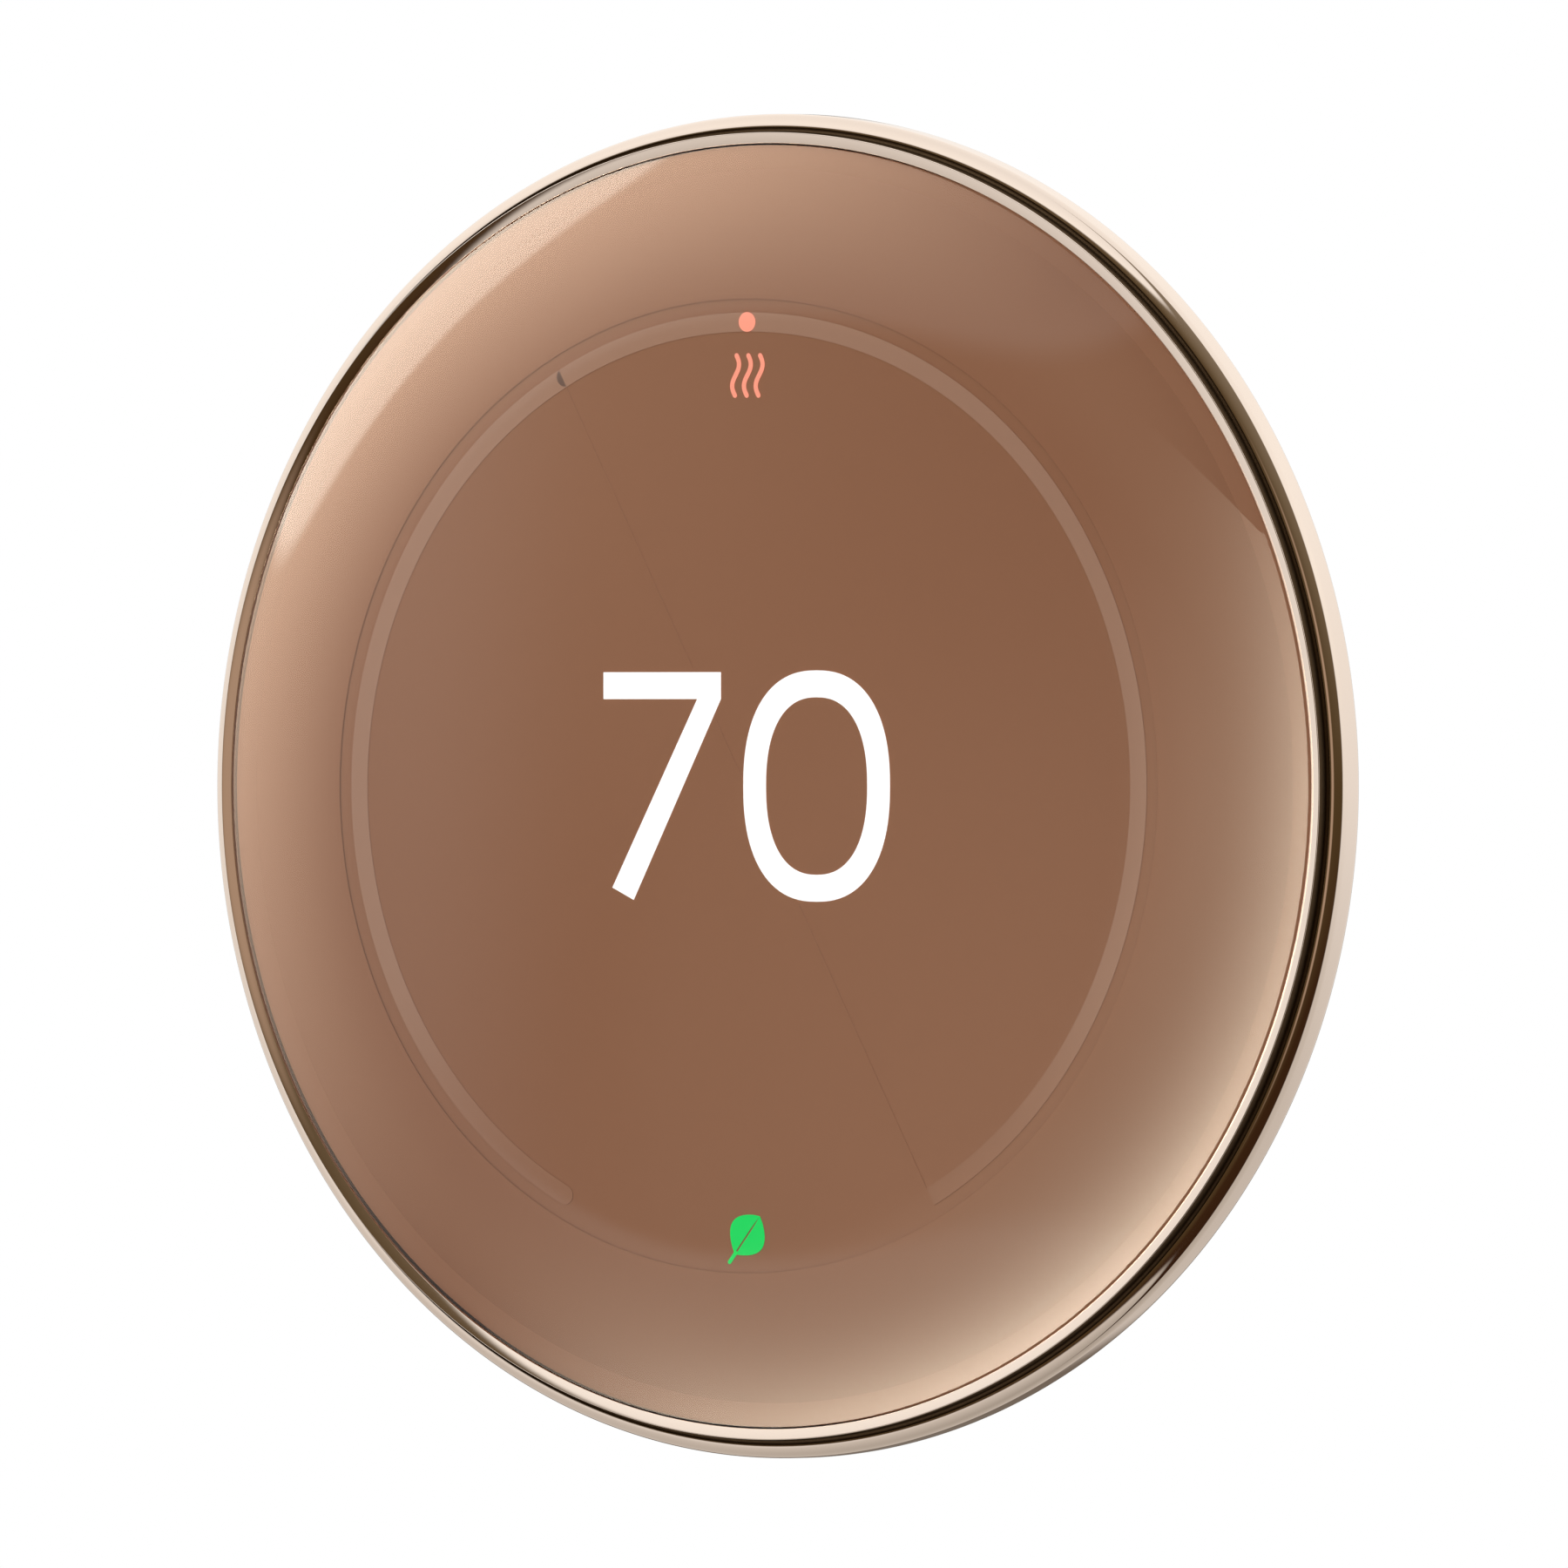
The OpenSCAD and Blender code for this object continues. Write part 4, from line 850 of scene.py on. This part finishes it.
def drawLightWindow(finish):
    # smoked sensor windows on their small board
    _, y, _ = finish.axes(finish.at())
    smoke = finish.noise(finish.at(), 700, 3.0)
    cap = finish.step(y * -1, 21.0 * mm, 21.05 * mm)
    board = finish.mix(smoke, rgb(20, 96, 62), rgb(16, 80, 50))
    return {"Base Color": finish.mix(cap, board, finish.mix(smoke, rgb(30, 22, 30), rgb(46, 34, 44))),
            "Roughness": 0.3 - 0.18 * cap + 0.1 * smoke, "Normal": finish.bump(smoke, 0.2, 0.01 * mm)}


white, cream = rgb(240, 240, 236), rgb(228, 227, 220)
steel, dullSteel = rgb(206, 206, 206), rgb(170, 171, 173)
finishes = {
    "base_plate": drawBasePlate, "rear_housing": drawHousing, "bearing_carrier": drawCarrier,
    "base_board": circuitBoard("base_board", rgb(20, 82, 50), rgb(34, 112, 66), 200),
    "main_board": circuitBoard("main_board", rgb(14, 70, 44), rgb(28, 100, 60), 260),
    "encoder_sensor": drawLightWindow, "presence_sensor": drawLightWindow, "light_sensor": drawLightWindow,
    "base_screws": plated(steel, dullSteel), "board_screws": plated(steel, dullSteel),
    "retainer_screws": plated(steel, dullSteel), "shoulder_screws": plated(rgb(214, 214, 214), rgb(184, 185, 187), 0.2),
    "roller_pins": plated(rgb(216, 216, 216), rgb(190, 191, 193), 0.16),
    "plug_pins": plated(rgb(255, 220, 150), rgb(240, 196, 110), 0.18),
    "terminal_clamps": brushed(rgb(226, 196, 128), rgb(204, 168, 98), (200, 200, 3000), 0.3),
    "retention_clips": brushed(steel, dullSteel, (3000, 200, 200), 0.28),
    "retainer_plate": brushed(rgb(200, 201, 203), rgb(176, 178, 180), (70, 70, 3500), 0.36),
    "display_tray": brushed(rgb(210, 210, 211), rgb(186, 187, 189), (3500, 60, 60), 0.3),
    "terminal_block_left": moulded(white, cream), "terminal_block_right": moulded(white, cream),
    "level_holder": moulded(rgb(232, 230, 225), rgb(220, 218, 212)), "level_vial": drawVial, "level_liquid": drawLiquid,
    "base_socket": drawConnector, "head_plug": drawConnector, "board_chips": drawChips, "shield_cans": drawCans,
    "battery": drawBattery, "battery_lead": drawLead, "push_switch": drawSwitch, "sounder": drawSounder,
    "temperature_sensor": drawTempSensor, "backlight": drawDiffuser, "lens_gasket": drawFoam,
    "encoder_strip": drawCodeStrip,
    "switch_plunger": moulded(rgb(36, 36, 37), rgb(26, 26, 27), 1800, 0.008 * mm, 0.4),
}


def paintPieces():
    tabs, rollers = moulded(rgb(220, 219, 215), rgb(208, 207, 202)), moulded(rgb(244, 243, 238), rgb(234, 232, 226), 1600,
                                                                             0.004 * mm, 0.32)
    shared = {}
    for node in cadNodes:
        draw = finishes.get(node)
        if node.startswith("terminal_tab"):
            draw = tabs
        if node.startswith("guide_roller"):
            draw = rollers
        if draw:
            if draw not in shared:
                shared[draw] = material(node + "Finish", draw)
            mesh = bpy.data.objects[node].data
            mesh.materials.clear()
            mesh.materials.append(shared[draw])


# ---- the soft parts ----

spring = {"out": 34 * mm, "angles": (90, 210, 330), "radius": 1.5 * mm, "wire": 0.2 * mm, "turns": 3,
          "back": 13.6 * mm, "front": 16.2 * mm, "keep": 0.81}


def makeSprings():
    # wound wire with closed ends, one coil round each shoulder screw
    made = bmesh.new()
    perTurn, round_ = 40, 12
    steps = perTurn * spring["turns"]
    for angle in spring["angles"]:
        centre = Vector((spring["out"] * cos(radians(angle)), 0, spring["out"] * sin(radians(angle))))
        previous = None
        for i in range(steps + 1):
            turn = 2 * pi * i / perTurn
            share = min(max((i / steps - 0.12) / 0.76, 0), 1)
            depth = spring["back"] + spring["wire"] + share * (spring["front"] - spring["back"] - 2 * spring["wire"])
            outward = Vector((cos(turn), 0, sin(turn)))
            ringVerts = []
            for k in range(round_):
                a = 2 * pi * k / round_
                spot = centre + outward * (spring["radius"] + spring["wire"] * cos(a))
                ringVerts.append(made.verts.new((spot.x, -(depth + spring["wire"] * sin(a)), spot.z)))
            if previous:
                for k in range(round_):
                    made.faces.new((previous[k - 1], previous[k], ringVerts[k], ringVerts[k - 1]))
            if i in (0, steps):
                made.faces.new(ringVerts)
            previous = ringVerts
    bmesh.ops.recalc_face_normals(made, faces=made.faces)
    piece = asObject("returnCoils", made, 60)
    place(piece, "head", "spring_steel", material("springSteel", plated(rgb(208, 209, 211), rgb(176, 178, 181), 0.2)),
          instead=["return_springs"])
    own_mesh(piece)


flex = {"half": 6 * mm, "at": -8.0 * mm, "bow": 0.55 * mm, "thick": 0.06 * mm, "back": 16.7 * mm, "front": 19.9 * mm,
        "keep": 0.845}


def makeFlex():
    # a thin ribbon that bows outwards between its two boards
    made = bmesh.new()
    count, rows = 24, []
    for i in range(count + 1):
        depth = flex["back"] + (flex["front"] - flex["back"]) * i / count
        z = flex["at"] + flex["bow"] * sin(pi * i / count) ** 2
        rows.append([made.verts.new((x, -depth, z + side * flex["thick"]))
                     for x, side in ((-flex["half"], -1), (flex["half"], -1), (flex["half"], 1), (-flex["half"], 1))])
    for lower, upper in zip(rows, rows[1:]):
        for k in range(4):
            made.faces.new((lower[k - 1], lower[k], upper[k], upper[k - 1]))
    for end in (rows[0], rows[-1]):
        made.faces.new(end)
    bmesh.ops.recalc_face_normals(made, faces=made.faces)
    piece = asObject("displayRibbon", made, 40)
    place(piece, "head", "flex_film", material("amberFilm", drawFlexFilm), instead=["display_flex"])
    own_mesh(piece)


# ---- stage, light and camera ----

studio = {"azimuth": 32.9, "aim": (0, -19.32 * mm, 0.15 * mm), "width": 114.3 * mm, "lens": 1400, "sensor": 36,
          "floorDrop": 0.9, "floorSize": 1.6}


def makeCamera():
    camera = bpy.data.objects.new("studioCamera", bpy.data.cameras.new("studioCamera"))
    bpy.context.scene.collection.objects.link(camera)
    camera.data.lens = studio["lens"]
    camera.data.sensor_width = studio["sensor"]
    camera.data.clip_end = 20
    turn = radians(studio["azimuth"])
    away = Vector((sin(turn), -cos(turn), 0))
    distance = studio["width"] * studio["lens"] / studio["sensor"]
    camera.location = Vector(studio["aim"]) + away * distance
    camera.rotation_mode = "QUATERNION"
    camera.rotation_quaternion = (-away).to_track_quat("-Z", "Y")
    bpy.context.scene.camera = camera


def makeFloor():
    made = bmesh.new()
    bmesh.ops.create_grid(made, x_segments=8, y_segments=8, size=studio["floorSize"] / 2)
    bmesh.ops.translate(made, vec=(0, 0, -studio["floorDrop"]), verts=made.verts)
    floor = asObject("paleFloor", made)

    def draw(finish):
        cloud = finish.noise(finish.at(), 3, 2.0)
        return {"Base Color": finish.mix(cloud, rgb(238, 237, 235), rgb(230, 229, 227)), "Roughness": 0.7}
    floor.data.materials.append(material("paleFloor", draw))
    floor.visible_glossy = False
    floor.visible_shadow = False


def makeWorld():
    # even white light; what shiny parts see is a pale room with a dark wedge of cloth to the right of the camera
    world = bpy.data.worlds.new("whiteStudio")
    bpy.context.scene.world = world
    world.use_nodes = True
    finish = Finish(world.node_tree)
    x, y, z = finish.axes(finish.node("ShaderNodeTexCoord", out=0))
    around = finish.node("ShaderNodeMath", {"operation": "ARCTAN2"}, {0: x, 1: y * -1}) * (180 / pi)
    up = finish.node("ShaderNodeMath", {"operation": "ARCSINE"}, {0: z}) * (180 / pi)
    height = finish.node("ShaderNodeMath", {"operation": "ABSOLUTE"}, {0: up})
    wedge = finish.step((around + 35) * 0.78 + 9 - height, -3, 3) * (
        1 - finish.step(around, 78, 90)) * finish.step(around, -39, -35)
    room = finish.node("ShaderNodeValToRGB", {"stops": (
        (0.0, (0.43, 0.40, 0.36, 1)), (0.35, (0.66, 0.62, 0.58, 1)), (0.5, (0.93, 0.90, 0.87, 1)),
        (0.65, (1.10, 1.07, 1.03, 1)), (1.0, (0.98, 0.95, 0.92, 1)))}, {0: up / 180 + 0.5})
    cloth = finish.node("ShaderNodeValToRGB", {"stops": (
        (0.0, (0.035, 0.014, 0.006, 1)), (0.36, (0.045, 0.020, 0.008, 1)), (0.5, (0.087, 0.055, 0.023, 1)),
        (0.64, (0.17, 0.125, 0.075, 1)), (1.0, (0.30, 0.25, 0.19, 1)))}, {0: up / 180 + 0.5})
    ahead = finish.node("ShaderNodeVectorMath", {"operation": "DOT_PRODUCT"},
                        {0: finish.node("ShaderNodeTexCoord", out=0), 1: (-0.122, -0.992, 0.0)}, out=1)
    cloth = finish.mix(finish.step(ahead, 0.968, 0.996), cloth, (0.45, 0.32, 0.23, 1))
    shiny = finish.mix(wedge, room, cloth)
    behind = finish.node("ShaderNodeVectorMath", {"operation": "DOT_PRODUCT"},
                         {0: finish.node("ShaderNodeTexCoord", out=0), 1: (-0.483, 0.837, -0.259)}, out=1)
    shiny = finish.mix(finish.step(behind, 0.90, 0.965) * 0.85, shiny, (0.10, 0.07, 0.045, 1))
    evenly = finish.mix(finish.node("ShaderNodeLightPath", out=2), shiny, (0.85, 0.85, 0.85, 1))
    colour = finish.mix(finish.node("ShaderNodeLightPath", out=0), evenly, (1, 1, 1, 1))
    background = finish.node("ShaderNodeBackground", None, {0: colour, 1: 1.0})
    finish.node("ShaderNodeOutputWorld", None, {0: background})


def hang(name, light, azimuth, elevation, distance, glossy):
    # a lamp in a direction from the thermostat, turned towards it
    lamp = bpy.data.objects.new(name, light)
    bpy.context.scene.collection.objects.link(lamp)
    a, e = radians(azimuth), radians(elevation)
    away = Vector((sin(a) * cos(e), -cos(a) * cos(e), sin(e)))
    lamp.location = away * distance
    lamp.rotation_mode = "QUATERNION"
    lamp.rotation_quaternion = (-away).to_track_quat("-Z", "Y")
    lamp.visible_camera = False
    lamp.visible_glossy = glossy
    return lamp


softbox = {"size": 9.0, "distance": 2.4, "glow": 4.07}


def makeSoftbox(name, azimuth, elevation, times, paint, lensGroup):
    # a big shaded screen that only the lens's gloss sees; times sets it further off and as much larger
    light = bpy.data.lights.new(name, "AREA")
    light.size = softbox["size"] * times
    light.energy = pi * light.size ** 2
    light.use_nodes = True
    finish = Finish(light.node_tree)
    place_ = finish.node("ShaderNodeNewGeometry", out=0)
    aim = finish.node("ShaderNodeVectorMath", {"operation": "NORMALIZE"}, {0: place_})
    colour, strength = paint(finish, *finish.axes(aim))
    shader = finish.node("ShaderNodeEmission", None, {0: colour, 1: strength * softbox["glow"]})
    finish.node("ShaderNodeOutputLight", None, {0: shader})
    lamp = hang(name, light, azimuth, elevation, softbox["distance"] * times, True)
    lamp.visible_diffuse = False
    lamp.light_linking.receiver_collection = lensGroup


def across(x, z):
    # grows from the dark slanting band in the middle towards the lower right
    return (x + 0.55 - 0.77 * z) / 1.26


def paintWindow(finish, x, y, z):
    # light that grows to the upper left, with a bright window beyond a straight edge
    rise = finish.node("ShaderNodeMath", {"operation": "MAXIMUM"}, {0: across(x, z) * -1, 1: 0.0})
    soft = 6.2 * rise ** 1.5
    pane = finish.step(z - 1.66 * x, 1.80, 1.83)
    glowing = finish.node("ShaderNodeVectorMath", {"operation": "SCALE"}, {0: (1.0, 0.69, 0.48), 3: soft})
    window = finish.node("ShaderNodeVectorMath", {"operation": "SCALE"}, {0: (1.2, 1.2, 1.08), 3: pane})
    both = finish.node("ShaderNodeVectorMath", {"operation": "ADD"}, {0: glowing, 1: window})
    return both, finish.step(y * -1, -0.9, -0.5)


def paintSweep(finish, x, y, z):
    # a crescent of light that grows towards the lower right edge
    side, drop = (x + 0.55) / 1.05, z / -0.77
    reach = (side * side + drop * drop) ** 0.5
    turn = finish.node("ShaderNodeMath", {"operation": "ARCTAN2"}, {0: drop, 1: side}) * (180 / pi)
    part = finish.step(turn, -50, 8) * (1 - finish.step(turn, 92, 120))
    near = finish.node("ShaderNodeMath", {"operation": "MINIMUM"}, {0: reach, 1: 1.15})
    strength = (0.85 * near + 1.75 * near ** 6.0) * part
    return (1.0, 0.85, 0.66, 1), strength * finish.step(y * -1, -0.3, 0.0)


def makeLights():
    lensGroup = bpy.data.collections.new("lensOnly")
    lensGroup.objects.link(bpy.data.objects["domedLens"])
    makeSoftbox("windowSoftbox", -72, 20, 1, paintWindow, lensGroup)
    makeSoftbox("sweepSoftbox", -8, -32, 3.5, paintSweep, lensGroup)   # clear of the other screen
    for name, azimuth, elevation, size, power in (("softKey", -35, 35, 0.6, 3.0), ("softBack", 150, 40, 0.8, 1.2),
                                                  ("softSide", 120, -10, 0.8, 0.8)):
        light = bpy.data.lights.new(name, "AREA")
        light.shape = "DISK"
        light.size = size
        light.energy = power
        hang(name, light, azimuth, elevation, 1.0, False)


makeLens()
makeDisplay()
makeRing()
makeMarks()
print("lens, ring and lit marks are ready")
paintPieces()
makeSprings()
makeFlex()
print("inner pieces are ready")

makeCamera()
makeWorld()
makeLights()
makeFloor()
print("stage, light and camera are ready")

bpy.context.scene.view_settings.view_transform = "Standard"
